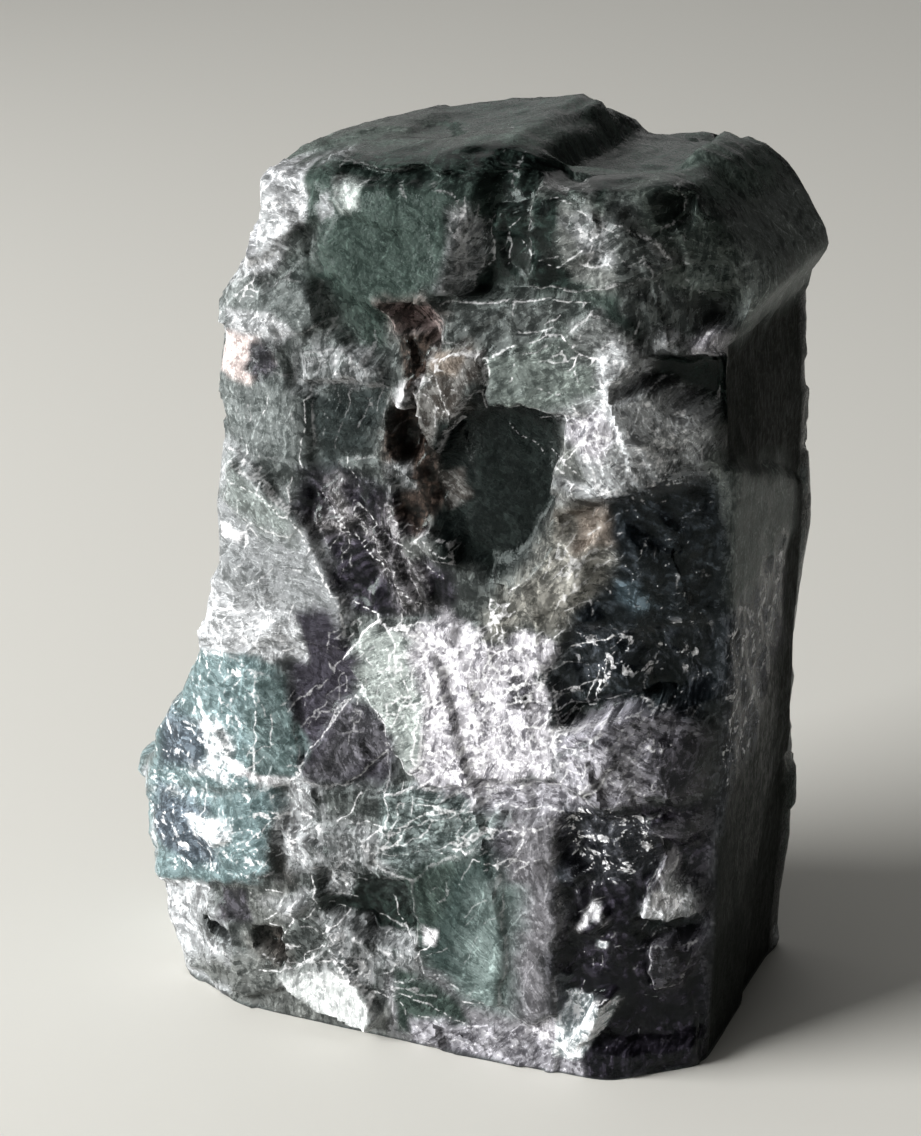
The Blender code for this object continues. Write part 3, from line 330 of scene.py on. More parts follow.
     ((-21.3, 16.3), (-16.4, 18.2), (-15, 17.5), (-17.1, 15))),
    ("wedge dark facet", "smoky plate", 0.4, 0.4, (-0.12, -0.05),
     ((-15, 17.5), (-19.6, 11.4), (-19.4, 8.6), (-15.2, 8.9), (-12, 12.5), (-13, 15.1))),
    ("wedge light facet", "pale wedge", 1.9, 0.4, (0.02, -0.22),
     ((-15.6, 9.4), (-11.5, 9.6), (-7, 7), (-4.8, 3.2), (-6.4, 1.2), (-9.5, 1.8), (-14.5, 2.6), (-18.8, 4.2),
      (-20.6, 7.2))),
    ("wedge right face", "crumbled grey", 0.9, 0.5, (-0.10, 0),
     ((-13, 15.1), (-12, 12.5), (-15.2, 8.9), (-8.9, 10.6), (-10.5, 14))),
    ("foot slab", "frosted grey", 0.9, 0.6, (0.02, -0.1),
     ((-37, 4.6), (-30, 6.5), (-25.6, 8.4), (-20.1, 8), (-19.8, 4.6), (-25.2, 2.2), (-37, 2))),
    ("slot", "black glass", -3.2, 0.6, (0, 0),
     ((-32.3, 10.8), (-27.8, 9.9), (-27.8, 8.8), (-31.6, 8.9))),
    ("small pocket", "brown black", -2.6, 0.8, (0, 0),
     ((-24.2, 12), (-20.2, 12.4), (-20, 9.2), (-24, 9.6))),
)

# Flakes on the other sides. The corners are (back, up) on the left and right walls, (right, up) on
# the back, and (right, back) on the top.
# The right wall's flakes take a near-black finish that paints its shade.
RIGHT_FLAKES = (
    ("upper flat", "painted shade black", -0.9, 0.7, (0, 0),
     ((-20, 84), (-12, 81.5), (10, 75), (30, 67), (30, 97), (-20, 97))),
    ("front hollow", "painted shade black", -1.4, 4.0, (0, 0), ((-17, 93), (-6, 92), (-4, 85), (-16, 83.5))),
    ("low step", "painted shade black", -0.7, 0.6, (0, 0), ((2, -5), (6, 22), (14, 31), (30, 34), (30, -5))),
)
LEFT_FLAKES = (
    ("long scar", "grey slab", -2.2, 1.0, (0, 0.02),
     ((-12, 52), (2, 58), (10, 92), (-4, 100), (-14, 76))),
    ("upper scar", "speckled grey", -1.4, 0.8, (0.03, 0), ((4, 88), (16, 84), (19, 108), (6, 112))),
    ("swollen foot", "teal", 1.6, 1.4, (0, 0), ((-12, 8), (6, 5), (12, 24), (0, 36), (-12, 30))),
    ("foot step", "crumbled grey", -1.5, 0.7, (0, 0), ((6, -4), (12, 24), (24, 30), (24, -4))),
)
BACK_FLAKES = (
    ("great scar", "window green", -2.6, 2.4, (0.03, 0.02),
     ((-26, 62), (-6, 54), (12, 70), (16, 102), (-4, 110), (-22, 96))),
    ("scar floor", "dome green", -3.6, 2.2, (-0.05, 0.03),
     ((-14, 70), (2, 66), (10, 80), (4, 98), (-10, 94))),
    ("right plate", "purple plate", 0.7, 1.6, (0.02, 0),
     ((16, 40), (30, 36), (36, 60), (32, 84), (20, 78))),
    ("low ledge", "lilac block", 1.2, 1.6, (0, -0.03),
     ((-30, -4), (26, -4), (22, 24), (2, 30), (-20, 20))),
    ("left chip", "frosted grey", -1.4, 1.6, (-0.08, 0), ((-36, 30), (-22, 34), (-16, 48), (-30, 56))),
    ("cube step", "deep teal", -1.0, 1.4, (0, 0), ((4, 30), (24, 24), (28, 38), (12, 50), (2, 44))),
)
TOP_FLAKES = (
    ("saddle", "deep green", -1.7, 1.6, (0, 0.02), ((14, -12), (28.6, -10), (28.6, 17), (16, 21))),
    ("ridge plate", "deep green", 0.6, 0.8, (0.02, 0.05),
     ((-8, -4), (10, -8), (13, 10), (2, 16), (-10, 10))),
    ("left plate", "smoky streaks", 0.5, 0.7, (0.02, 0), ((-20, -6), (-8, -4), (-8, 12), (-22, 10))),
    ("right knob", "top green", 0.7, 1.4, (0, 0), ((28, -4), (36, 0), (35, 12), (28, 12))),
)

# Patches of finish that lie across the flakes on the front: finish, how wide its edge is, how far
# its edge wanders, and its outline as (right, up) corners. The broad ones lie under the flakes.
BROAD_PATCHES = (
    ("smoky plate", 4.0, 2.0, ((-50, -5), (50, -5), (50, 130), (-50, 130))),
    ("deep green", 3.0, 2.0, ((-17, 99), (-14, 124), (50, 124), (50, 98), (32, 101))),
    ("black glass", 3.0, 2.0,
     ((-12, 130), (-10, 118), (8, 116), (26, 116), (30, 121), (50, 121), (50, 130))),
    ("smoky streaks", 2.5, 2.0, ((22, 130), (26, 117), (33, 110), (50, 103), (50, 130))),
    # Painted shadow under the overhanging lobe on the right.
    ("black glass", 3.0, 1.5, ((30, 108), (50, 110), (50, 84), (40, 85), (36, 90), (28, 93), (30, 104))),
    ("purple black", 3.0, 2.0, ((22, 38), (50, 38), (50, -5), (22, -5))),
    # Painted shade beside the slanting slab, in a dark purple finish.
    ("purple black", 2.5, 1.6, ((-15, 77), (-9, 79), (1, 76), (5, 66), (2, 61), (-9, 60), (-15, 66))),
    ("blue black", 3.0, 2.0, ((24, 84), (50, 88), (50, 50), (24, 50), (20, 62))),
    ("white break", 3.0, 2.5, ((-50, 104), (-24, 104), (-21, 96), (-23, 86), (-24, 62), (-50, 62))),
    ("crumbled white", 2.5, 2.0, ((-50, 62), (-24, 62), (-19, 59), (-22, 52), (-30, 48), (-50, 34))),
    ("white break", 2.5, 2.0, ((-50, 16), (-34, 17), (-28, 11), (-24, 5), (-26, -5), (-50, -5))),
    ("frosted grey", 2.0, 1.5, ((-28, 16), (-19, 20), (-14, 16), (-6, 4), (-6, -5), (-28, -5))),
    ("crumbled grey", 2.0, 1.5, ((-20, 36), (-13, 36), (-12, 22), (-20, 20))),
    ("frosted grey", 2.0, 1.5, ((-6, 4), (0, 9), (8, 8), (20, 4), (22, -5), (-6, -5))),
)
FINE_PATCHES = (
    ("speckled black", 2.5, 1.2,
     ((4, 87), (11, 89.6), (19.2, 87.6), (19.4, 80), (18, 74), (14, 68.6), (10, 66.6), (4, 68), (2, 77))),
    ("brown black", 1.6, 1.0, ((-2.6, 88), (2.6, 84), (4, 77), (1, 71), (-3, 75), (-3.4, 82))),
    ("brown plate", 1.2, 0.8, ((3.4, 80), (6, 80.6), (7, 76.6), (4.6, 74.6))),
    ("black glass", 1.2, 0.8, ((-3, 122), (5, 121), (10, 117), (20, 117.5), (26, 119), (26, 130), (-3, 130))),
    ("crumbled grey", 1.5, 0.8, ((4, 103), (5.4, 108), (5, 113), (7.6, 114), (8.4, 109), (6.6, 102.6))),
    ("frosted grey", 2.5, 1.0, ((18, 115), (25, 115), (31.6, 110), (33.6, 107), (30, 104.6), (20, 106))),
    ("crumbled white", 1.2, 1.2, ((-25, 103), (-19.6, 107), (-17.2, 113), (-17.6, 118), (-25, 114))),
    # Painted glints on the dome's left side, in the finishes of a grey slab and a pale green plate.
    ("grey slab", 0.8, 0.6, ((-12.6, 112.4), (-10, 113.6), (-9.8, 111.4), (-11.6, 110.4))),
    ("kite green", 0.7, 0.5, ((-10, 115.4), (-6, 115.4), (-5.8, 112.4), (-8.8, 112))),
    ("crumbled grey", 0.8, 0.7, ((-13.6, 117.6), (-10.4, 117.8), (-10.2, 116.8), (-13.2, 116.4))),
    ("crumbled grey", 1.6, 1.0, ((18.5, 113.5), (25.8, 114.6), (32, 109), (30, 107), (22, 109.6))),
    ("black glass", 1.5, 0.8, ((15, 116), (18.6, 115.6), (19.4, 108), (21, 105), (15, 104))),
    ("crumbled white", 1.0, 1.0, ((-25, 97.5), (-19, 98), (-15, 95.5), (-18, 93.8), (-25, 94))),
    ("pink stain", 1.5, 0.8, ((-27, 94.5), (-21, 94.5), (-19, 91), (-22, 89), (-27, 90))),
    ("purple lump", 1.2, 0.6, ((-22.5, 94), (-19.5, 94.3), (-18.3, 91.5), (-20, 89.2), (-22.5, 90.5))),
    ("crumbled grey", 0.8, 0.8, ((-10.6, 94), (-6, 94), (-5, 90.6), (-10, 90))),
    ("brown black", 0.9, 0.8, ((-1.5, 97), (2.6, 97), (2.4, 92.5), (0.4, 88.5), (-1, 91))),
    ("brown stain", 1.0, 0.6, ((3, 95), (8, 96.3), (6.6, 93.4), (3.4, 92.6))),
    ("lilac white", 1.5, 1.0, ((21.4, 88.6), (26, 90.4), (28.6, 88), (25, 84.6), (21.4, 85.6))),
    ("warm pale", 2.5, 1.0, ((17, 68.6), (19.4, 73), (21, 78), (25, 75), (25, 69), (21.6, 63.6), (17, 60.6),
      (15.6, 64))),
    ("brown stain", 1.6, 0.8, ((20.6, 78), (25.4, 78), (26, 73.6), (22, 71.6))),
    ("blue glint", 1.6, 0.8, ((25.4, 68.4), (28, 68), (30.8, 64.4), (28.8, 64), (26, 66))),
    ("frosted grey", 1.0, 0.8, ((38.6, 77.8), (43.6, 76.6), (44, 73), (40, 70.4), (38.8, 72))),
    ("bright splinter", 0.4, 0.3, ((-27, 70), (-23.4, 69.4), (-23.6, 68), (-27, 68.2))),
    ("purple glass", 2.5, 1.0, ((-16, 60), (-11.6, 60), (-6, 55), (-10, 48), (-17, 50))),
    ("purple plate", 1.6, 1.0, ((12.4, 54.4), (16.6, 54.2), (17.4, 50.6), (13.4, 50.4))),
    ("crumbled white", 1.2, 1.0,
     ((-24, 103), (-18.4, 104), (-15.6, 108), (-13.6, 111), (-14, 117.5), (-26, 117.5), (-30, 103))),
    ("lilac white", 1.4, 1.0, ((13, 60), (18.6, 59.8), (18.8, 56.2), (13, 56.4))),
    ("broken lilac", 1.2, 1.0, ((24.6, 44.6), (30, 45), (30.4, 41), (25.4, 40.4))),
    ("lilac white", 1.2, 1.0, ((3, 40.6), (12, 41), (12, 38), (3, 37.2))),
    ("lilac white", 1.2, 1.0, ((14.6, 37.4), (21, 37.6), (21, 34.2), (15, 34.2))),
    ("lilac band", 1.4, 0.8, ((10.8, 26), (13.4, 26), (14.6, 14), (12.2, 14))),
    ("lilac white", 1.2, 1.0, ((30, 29.6), (33.2, 31), (34.2, 27), (31, 25.6))),
    ("crumbled grey", 1.2, 1.0, ((34.4, 26), (38, 25.4), (38, 21.4), (34.6, 21.6))),
    ("crumbled grey", 1.2, 1.0, ((-13.4, 23.6), (-9, 23.8), (-9, 19.4), (-13, 19.2))),
    ("crumbled white", 1.0, 0.8, ((-9.8, 11), (-6, 11.4), (-5.4, 7.6), (-8.6, 7.2))),
    ("crumbled white", 1.4, 1.0, ((-20.6, 57), (-15.6, 57.6), (-15.2, 52), (-19.6, 51.4))),
    ("crumbled grey", 1.2, 0.8, ((-3.4, 80), (-0.6, 80.4), (0, 77), (-3, 76.6))),
    ("frosted grey", 1.2, 0.8, ((-1.4, 72), (1.4, 72), (1.6, 68.6), (-1, 68.6))),
    ("frosted grey", 1.6, 1.0, ((18.8, 86), (22.4, 86), (22.6, 82), (18.8, 81.4))),
    ("smoky plate", 1.6, 1.0,
     ((25, 117), (29.4, 112), (32, 108), (33.4, 103), (30, 100), (26.6, 103), (26.4, 110))),
    ("white break", 1.4, 1.0, ((24, 97), (26.4, 99.4), (29.4, 98), (30, 93), (27, 90), (24.6, 91))),
    ("broken lilac", 1.4, 1.0, ((12, 39.6), (20, 40.6), (25, 39.4), (24, 35.6), (14, 34.8))),
    ("broken lilac", 1.4, 1.0, ((20, 46), (27, 47), (27.6, 40.6), (20, 41))),
    ("smoky plate", 2.5, 1.5, ((29, 104.6), (42, 104.6), (42, 100), (33, 99.6), (29, 101))),
    ("lilac white", 0.8, 0.8,
     ((33.4, 97.8), (35.6, 99.4), (38.4, 99.4), (38.8, 96.6), (37, 95.4), (34, 96.2))),
    ("glinting blue", 2.0, 1.2, ((20.6, 37.6), (27, 38.6), (31, 36), (31, 28), (24, 25.6), (20.6, 29))),
    ("crumbled grey", 1.4, 1.0, ((-13, 16.6), (-7, 17), (-4.6, 11), (-6, 7), (-10.6, 10.6))),
    ("bright teal", 5.0, 1.0, ((6.6, 9), (7.6, 18), (10, 26), (15, 27), (14, 8))),
    ("lilac band", 1.6, 1.0, ((13.4, 27), (13.6, 35.6), (19.4, 35.8), (19.6, 26))),
    ("purple side", 2.5, 1.0, ((36.2, 35), (50, 36), (50, 4), (37, 5))),
    # Painted light on the slab at the front's right edge.
    ("smoky side and painted light", 1.5, 0.8, ((35.6, 84), (37.6, 84.6), (50, 85), (50, 63), (40, 66), (37, 74))),
    ("smoky streaks", 1.6, 1.2, ((31, 107), (50, 106), (50, 101), (38, 101.4), (32, 104))),
    ("crumbled white", 1.2, 1.0, ((29.4, 22.4), (30.4, 26.4), (32.8, 29), (36, 24), (35.4, 21.4))),
    ("deep green", 1.6, 1.2, ((-2.6, 11), (5, 8.6), (8, 5.6), (6, 2), (-2, 2.6))),
    ("lilac white", 1.4, 1.0, ((12, 4.6), (19.6, 7.6), (21.6, 3), (20, 0.6), (13, 1))),
    ("deep green", 3.0, 1.0, ((-2, 25), (6, 28), (4, 20), (0, 14))),
    ("broken lilac", 1.4, 1.0, ((0, 5), (12, 5.4), (24, 2.4), (24, -2), (0, -2))),
    ("white break", 1.6, 1.0, ((25, 91.4), (30.5, 91.4), (34, 88), (36.6, 83.6), (31, 82.6))),
    # Painted shadow under the overhanging lobe.
    ("black glass", 1.4, 1.0,
     ((29.5, 94), (33, 96), (50, 96), (50, 84.6), (38.8, 84.2), (35.6, 88.6), (31.6, 91.8))),
    ("lilac white", 2.0, 1.2, ((1, 56), (4, 62), (9, 60), (7, 50), (10, 42), (2, 40))),
    ("glint", 0.9, 0.9, ((-31.5, 41.2), (-28.4, 41.4), (-25.8, 38), (-27, 35.6), (-31.8, 35.4))),
    ("glint", 0.6, 0.6, ((-34, 35), (-27, 34.6), (-27.4, 33.4), (-33.6, 33.2))),
    ("bright splinter", 0.6, 0.6, ((-27, 36.4), (-17.4, 35.4), (-17.6, 34.2), (-27, 35))),
    ("slate blue", 3.0, 1.2, ((-40, 29), (-31, 28), (-29, 24), (-31, 20), (-36, 18.6), (-42, 21))),
    ("slate blue", 3.0, 1.2, ((-38, 41), (-31, 40), (-31, 34), (-40, 32))),
    ("glint", 0.6, 0.7, ((-34.4, 26.6), (-26.4, 26.4), (-26, 24.6), (-34, 23.8))),
    ("purple lump", 1.0, 0.4, ((-30, 16.8), (-25.2, 17.6), (-24.6, 13), (-29.8, 11.6))),
    ("white break", 1.8, 1.2, ((-19.6, 35), (-15, 36), (-14.6, 24), (-18.6, 23))),
    ("bright splinter", 0.8, 0.6, ((1.4, 18.2), (3.8, 18), (3.4, 15.4), (1.6, 15.2))),
    ("crumbled grey", 1.2, 1.0, ((-8, 15.4), (0, 15.6), (1, 11), (-8, 10.4))),
    ("glint", 0.5, 0.5, ((20.4, 11), (27.6, 11.2), (23.4, 2.4), (19.6, 2.4))),
    ("glint", 0.3, 0.2, ((24.4, 18.8), (26, 18.9), (25.9, 17.6), (24.5, 17.6))),
    ("bright splinter", 0.8, 0.5, ((31.4, 26.4), (34, 25.6), (34.4, 23.8), (31.2, 24))),
)

# Patches on the right wall, with corners as for its flakes. The dim one paints shade on its lower
# part, and the smoky ones are lightened to paint light on it.
RIGHT_PATCHES = (
    ("painted shade side", 9.0, 4.0, ((-60, 64), (9, 60), (12, 30), (6, 16), (-60, 22))),
    ("purple side", 7.0, 3.0, ((-60, 62), (8, 60), (12, 50), (-6, 42), (-60, 44))),
    ("smoky side and painted light", 5.0, 2.5, ((-60, 84), (16, 81), (15, 66), (4, 61), (-60, 64))),
    ("glinting side", 5.0, 2.5, ((-60, 65), (2, 63), (11, 66), (9, 52), (-3, 42), (-14, 34), (-60, 32))),
    ("smoky side and painted light", 6.0, 2.5, ((-60, 97), (60, 93), (60, 140), (-60, 140))),
)

# White cleavage lines on the front: how bright and how wide each is, and its (right, up) points.
VEINS = (
    (1.0, 0.40, ((20, 99.5), (22, 97.5), (27.3, 95))),
    (0.9, 0.35, ((22.2, 97.5), (20.4, 95.3))),
    (0.7, 0.30, ((28.5, 102), (28.2, 98.6), (27.3, 95))),
    (0.7, 0.30, ((10.2, 95.6), (14, 97.2), (20, 99.5))),
    (1.0, 0.50, ((25.5, 113.5), (28.5, 111.2), (32, 108.5))),
    (0.6, 0.35, ((4, 101.2), (12, 102.6), (23, 103.6))),
    (0.8, 0.30, ((-14.5, 89), (-14.6, 84), (-15, 78.5))),
    (0.6, 0.30, ((-9.2, 72.6), (-11, 68.6))),
    (1.0, 0.45, ((-12.8, 66.7), (-11.4, 63.4), (-7, 61.2), (-4.5, 60), (1, 58.4))),
    (1.0, 0.50, ((-9.4, 53.6), (-7.1, 57), (-4.5, 59.9))),
    (1.0, 0.40, ((-9.4, 53.6), (-5.6, 47), (-3.4, 42.6))),
    (0.9, 0.35, ((-3, 59.4), (-1.6, 54), (1, 48.2), (0.6, 41))),
    (0.7, 0.30, ((-7, 56.4), (-3, 52.4), (1, 48.2))),
    (1.0, 0.45, ((1, 59), (4.6, 54.6), (9, 51.4), (15, 48.6), (19, 48))),
    (0.9, 0.40, ((2, 46), (7, 45.4), (12, 43), (19, 42.6))),
    (0.8, 0.35, ((4.6, 54.6), (7.4, 49.6), (8.6, 44), (8, 39.6))),
    (0.8, 0.35, ((9, 60), (11, 55.4), (15, 52), (18, 51))),
    (0.7, 0.30, ((-5.4, 46.8), (-1.4, 47.8), (1, 45))),
    (1.0, 0.45, ((0.8, 37.4), (5, 38.6), (10, 39.6), (19.4, 40.2))),
    (0.9, 0.40, ((10.8, 35.6), (15, 36.4), (20, 36.3))),
    (0.9, 0.40, ((0.8, 37.4), (6, 43), (12, 46))),
    (0.9, 0.45, ((18, 50.8), (26, 52.2), (34, 52))),
    (1.0, 0.40, ((23.4, 40.2), (25.6, 41.6), (27.2, 44.6))),
    (0.6, 0.30, ((-17, 36), (-12.6, 43), (-8, 49))),
    (0.9, 0.35, ((-22, 44.7), (-22.3, 40), (-22, 35))),
    (0.7, 0.30, ((-24, 48.6), (-22, 46.4), (-22, 44.7))),
    (0.7, 0.30, ((-34, 45), (-28, 47.6), (-24, 50.5))),
    (0.8, 0.35, ((-14.8, 23.2), (-10, 22.8), (-6, 23.6))),
    (0.6, 0.30, ((-9, 31.4), (-2, 31), (5, 34), (12, 38.6))),
    (0.5, 0.25, ((-6, 27), (0, 28), (8, 31.2), (13, 34))),
    (0.8, 0.35, ((-16.4, 18.2), (-19.6, 11.4))),
    (0.7, 0.30, ((-13, 15.1), (-8.9, 10.4), (-6, 4.2))),
    (0.6, 0.30, ((-4, 20), (-1, 14.5), (3, 9))),
    (0.8, 0.35, ((30.2, 84.5), (31.9, 82.4))),
    (0.7, 0.30, ((36, 84.4), (38, 82.9))),
    (0.7, 0.30, ((36, 92.6), (38.6, 87.6), (41.4, 84.6), (46, 85.4))),
    (0.5, 0.30, ((28, 98), (29.6, 95.6))),
    (0.5, 0.30, ((20.6, 21.6), (25.6, 24.8))),
    (0.6, 0.30, ((-3, 7.6), (4, 6), (12, 3.4))),
    (0.5, 0.30, ((37.4, 32), (37.2, 24), (38.4, 12))),
    (0.8, 0.40, ((-13.1, 76.1), (-9, 70.8), (-4.2, 66.8), (1.1, 62.3))),
    (0.7, 0.35, ((-8.3, 75.5), (-4, 72), (-0.6, 69), (4.1, 66.7))),
    (0.6, 0.35, ((-3, 73.8), (1, 71.5), (5.2, 69.1))),
    (0.8, 0.35, ((-25.9, 76.9), (-21.1, 74.6), (-16.2, 71.7), (-12.1, 65.8), (-9.7, 60.2))),
)

# Groups of short fine lines on the front, drawn by chance: how many, their middle and spread as
# (right, up), their angle from level and how far it fans, how long they are and how bright.
SPRAYS = (
    (80, (9, 50), (10, 10), 50, 40, 5.5, 1.0),
    (64, (28, 86), (10, 5), 0, 60, 4.5, 1.0),
    (18, (20.5, 68), (3, 5), 60, 25, 4.5, 0.6),
    (30, (-6, 68), (8, 7), 125, 30, 4.5, 0.6),
    (34, (3, 31.5), (10, 5), 30, 14, 6.5, 0.8),
    (50, (-28, 41), (10, 9), 80, 50, 3.5, 1.0),
    (60, (-30, 24), (10, 7), 35, 35, 3.5, 1.0),
    (16, (6, 90), (4, 5), 120, 30, 3.0, 0.8),
    (18, (18, 95), (8, 4), 15, 45, 4.0, 0.8),
    (30, (24, 110), (8, 5), -40, 50, 3.0, 0.7),
    (16, (-3, 51), (5, 8), 65, 40, 5.0, 0.9),
    (34, (-24, 86), (3, 26), 85, 40, 3.0, 0.9),
    (50, (28, 45), (9, 6), 15, 35, 3.5, 0.9),
    (64, (29, 20), (9, 15), 50, 60, 2.4, 0.9),
    (36, (31, 67), (8, 12), 40, 50, 1.8, 0.8),
    (14, (8, 108), (3, 6), 85, 30, 4.0, 0.6),
    (46, (-14, 11), (15, 8), -10, 50, 4.0, 0.9),
    (16, (6, 20), (7, 10), 75, 25, 4.5, 0.35),
    (14, (34, 113), (6, 6), -50, 12, 7.0, 0.30),
    (16, (10, 118), (20, 3), 60, 60, 1.8, 0.30),
    (26, (-12, 48), (8, 9), 60, 40, 4.0, 0.5),
    (18, (-9, 84), (6, 7), 88, 12, 3.5, 0.25),
)

# A flake's step: how much wider it is than in the solid, its least width, and the share of it that
# lies outside the flake's outline. How round the corners between the walls are.
STEP_SPREAD = 1.5
LEAST_STEP = 0.9
STEP_OVERLAP = 0.6
CORNER_ROUND = 0.7

# A flake's finish: over what length it fades out at two strengths of its rim, and how far and over
# what length that border wanders. How far in from its outline a flake knows its edge, how much
# faster that ends outside, and over what length and with what seed a rim comes and goes.
COVER_SOFT = (5.5, 1.8)
COVER_RIMS = (0.2, 0.8)
COVER_WANDER = 1.5
COVER_CRINKLE = 4.0
EDGE_REACH = 2.0
OUTSIDE_FALL = 3.0
RIM_SPACING = 6.0
RIM_SEED = 61

# Crinkles that break up straight outlines: how far and over what length, how big and how close the
# finer ones are beside them, the seeds, and how many places the net of chance has each way.
EDGE_CRINKLE = 0.6
CRINKLE_SPACING = 3.0
FINER_CRINKLE = (0.5, 0.37)
CRINKLE_SEEDS = (5, 7)
CRINKLE_NET = 256

# Points that lie this near an outline slide onto it, in so many rounds, and are looked for this far
# round it. They are the points of the front wall: this near its plane, and this high over the base.
SNAP_REACH = 0.45 * FINE_SPACING
SNAP_ROUNDS = 2
SNAP_MARGIN = 2.0 * EDGE_CRINKLE
FRONT_BAND = 0.2
FOOT_BAND = 0.5

# A vein reaches this many of its widths. A spray's lines all have one width. They gather round its
# middle by this share of its spread, bend this much at each of their strides, and vary in length and
# brightness.
VEIN_REACH = 3.0
SPRAY_WIDTH = 0.30
SPRAY_SEED = 8
SPRAY_GATHER = 0.6
SPRAY_BEND = 0.28
SPRAY_STRIDES = 3
SPRAY_LENGTHS = (0.4, 1.5)
SPRAY_BRIGHTS = (0.4, 1.0)

# The grain of a face: each flake's is turned on from the last one's, bent by a share of the bends,
# and drawn out along its length. On the green facet it fans out from a place: a radian counts as so
# many millimetres across the grain, and a millimetre outward as so many along it.
GOLDEN_ANGLE = math.radians(137.5)
GRAIN_BEND = 0.12
GRAIN_LENGTH = 0.16
FAN_FLAKE = "green facet"
FAN_CENTRE = (19.0, 10.0)
FAN_STRENGTH = 14.0
FAN_STRETCH = 0.3

# Smooth chance is the mean of sine waves, and creased chance that of triangle waves: how many, how
# much their rates vary, and how far the mean is scaled up.
RIPPLE_WAVES, RIPPLE_LENGTHS, RIPPLE_GAIN = 12, (0.6, 1.6), 2.4
CREASE_WAVES, CREASE_LENGTHS, CREASE_GAIN = 7, (0.6, 1.7), 2.0

# Chance numbers of a whole-number cell, from the fractions of big sines. A chip's height and slopes
# are such numbers around 0, scaled up, and take a seed of their own so much higher.
SCRAMBLE_WAY = (127.1, 311.7, 74.7)
SCRAMBLE_SEED = 19.19
SCRAMBLE_RATES = (1.0, 1.3, 1.7, 2.3)
SCRAMBLE_SIZE = 43758.5453
CHIP_GAIN = 3.4
CHIP_PLANE_SEED = 7

# Rippled shifts and clouds: size, length and seed. A shift takes its seed and the two after it.
LOT_SHIFT = ((1.6, 9.0, 15),)
BENDS = ((0.9, 6.5, 21), (0.3, 2.4, 24))
CLOUDS = ((0.45, 9.0, 31), (0.35, 4.0, 32))
FINE_CLOUD = (0.25, 1.9, 33)

# Creased patterns: how much of the bends they take, length and seed. The middle and small chips' own
# chance numbers are mixed in these shares.
CRACK = (0.4, 7.0, 51)
SHARD = (0.15, 3.2, 52)
CHIP_MIX = (0.55, 0.45)

# Where one side passes into the next: how far out along the side's own way its share starts from 0,
# and over what length it rises to 1.
SIDE_FADES = {"front": (13.0, 3.0), "right": (32.0, 2.0), "left": (10.0, 5.0), "back": (18.0, 3.0),
              "top": (111.0, 3.0)}

# The patches and flakes of each side, and the axes that count as across and up on it.
SIDES = {
    "front": (BROAD_PATCHES, FRONT_FLAKES, 0, 2),
    "right": (RIGHT_PATCHES, RIGHT_FLAKES, 1, 2),
    "left": ((), LEFT_FLAKES, 1, 2),
    "back": ((), BACK_FLAKES, 0, 2),
    "top": ((), TOP_FLAKES, 0, 1),
}

# The finishes that the other sides draw by lot, one for each facet of a wide field, and the share
# that every side keeps where it has none, so that the shares never add up to 0.
LOT_CHIPS = (11.0, 0.0, 0.0, 1.0, 41)
LEAST_SHARE = 1e-6
LOTS = {
    # The right wall draws only a near-black finish, which paints its shade.
    "right": ("painted shade black",),
    "left": ("crumbled white", "speckled grey", "teal", "crumbled grey", "grey slab", "teal plate"),
    "back": ("deep green", "teal plate", "purple plate", "grey plate", "white break", "window green",
             "purple glass", "lilac block", "deep teal"),
    "top": ("top green", "top green", "smoky streaks"),
}

# A ray's end is found by halving its length this many times.
HALVINGS = 24

# The three noises of the finish: waves to a millimetre, layers of finer ones, and how rough. The
# soft forms rise from 0 to 1 over the same span of each.
MOTTLE = (0.8, 3.0, 0.6)
STREAK = (1.5, 3.0, 0.62)
GRIT = (2.0, 2.0, 0.6)
SOFT_SPAN = (0.3, 0.7)

# Frost: how much each pattern counts for where it lies, how soft its border is, and how much the
# clouds and a bright edge add to its share of the face. Then how much of the clouds is mottle.
FROST_CHIP, FROST_GRIT, FROST_MOTTLE, FROST_STREAK = 0.08, 0.12, 0.34, 0.46
FROST_SOFT = 0.55
FROST_SWELL = 0.3
FROST_EDGE = 0.25
CLOUD_MOTTLE = 0.45

# Broken edges and veins: where the grit breaks them, then width and brightness, each as a rise with
# the grit and a least value.
BREAK_SPAN = (0.36, 0.62)
EDGE_WIDTH = (0.13, 0.09)
EDGE_BRIGHT = (0.6, 0.4)

# Wisps follow level lines of the streaks, of the mottle and of the creases: the level, then how far
# from it they reach. They come with the frost over a span of its share, and outshine the veil.
WISPS_STREAK = (0.5, 0.024)
WISPS_MOTTLE = (0.52, 0.012)
WISPS_CRACK = (0.1, 0.06)
WISP_SPAN = (0.05, 0.7)
WISP_GAIN = 2.8

# Flecks gather where the clouds are high. Specks are where grit with some streak in it is above a
# bar, which flecks lower from its full height. Shards are where creases with some grit in them are
# above a bar of their own with a lowest height, and only where flecks are many.
GATHER_CLOUD = (0.35, 0.75, 0.4, 1.0)
SPECK_GRIT, SPECK_STREAK = 0.62, 0.38
SPECK_BAR = (-0.36, 0.75)
SPECK_SOFT = 0.035
SHARD_MOTTLE = (0.55, 0.20)
SHARD_BAR = (-5.5, 1.75)
SHARD_LOWEST = 0.35
SHARD_GRIT = 0.5
SHARD_SOFT = 0.06
SHARD_BRIGHT = (0.7, 0.3)
SHARD_SPAN = (0.34, 0.42)

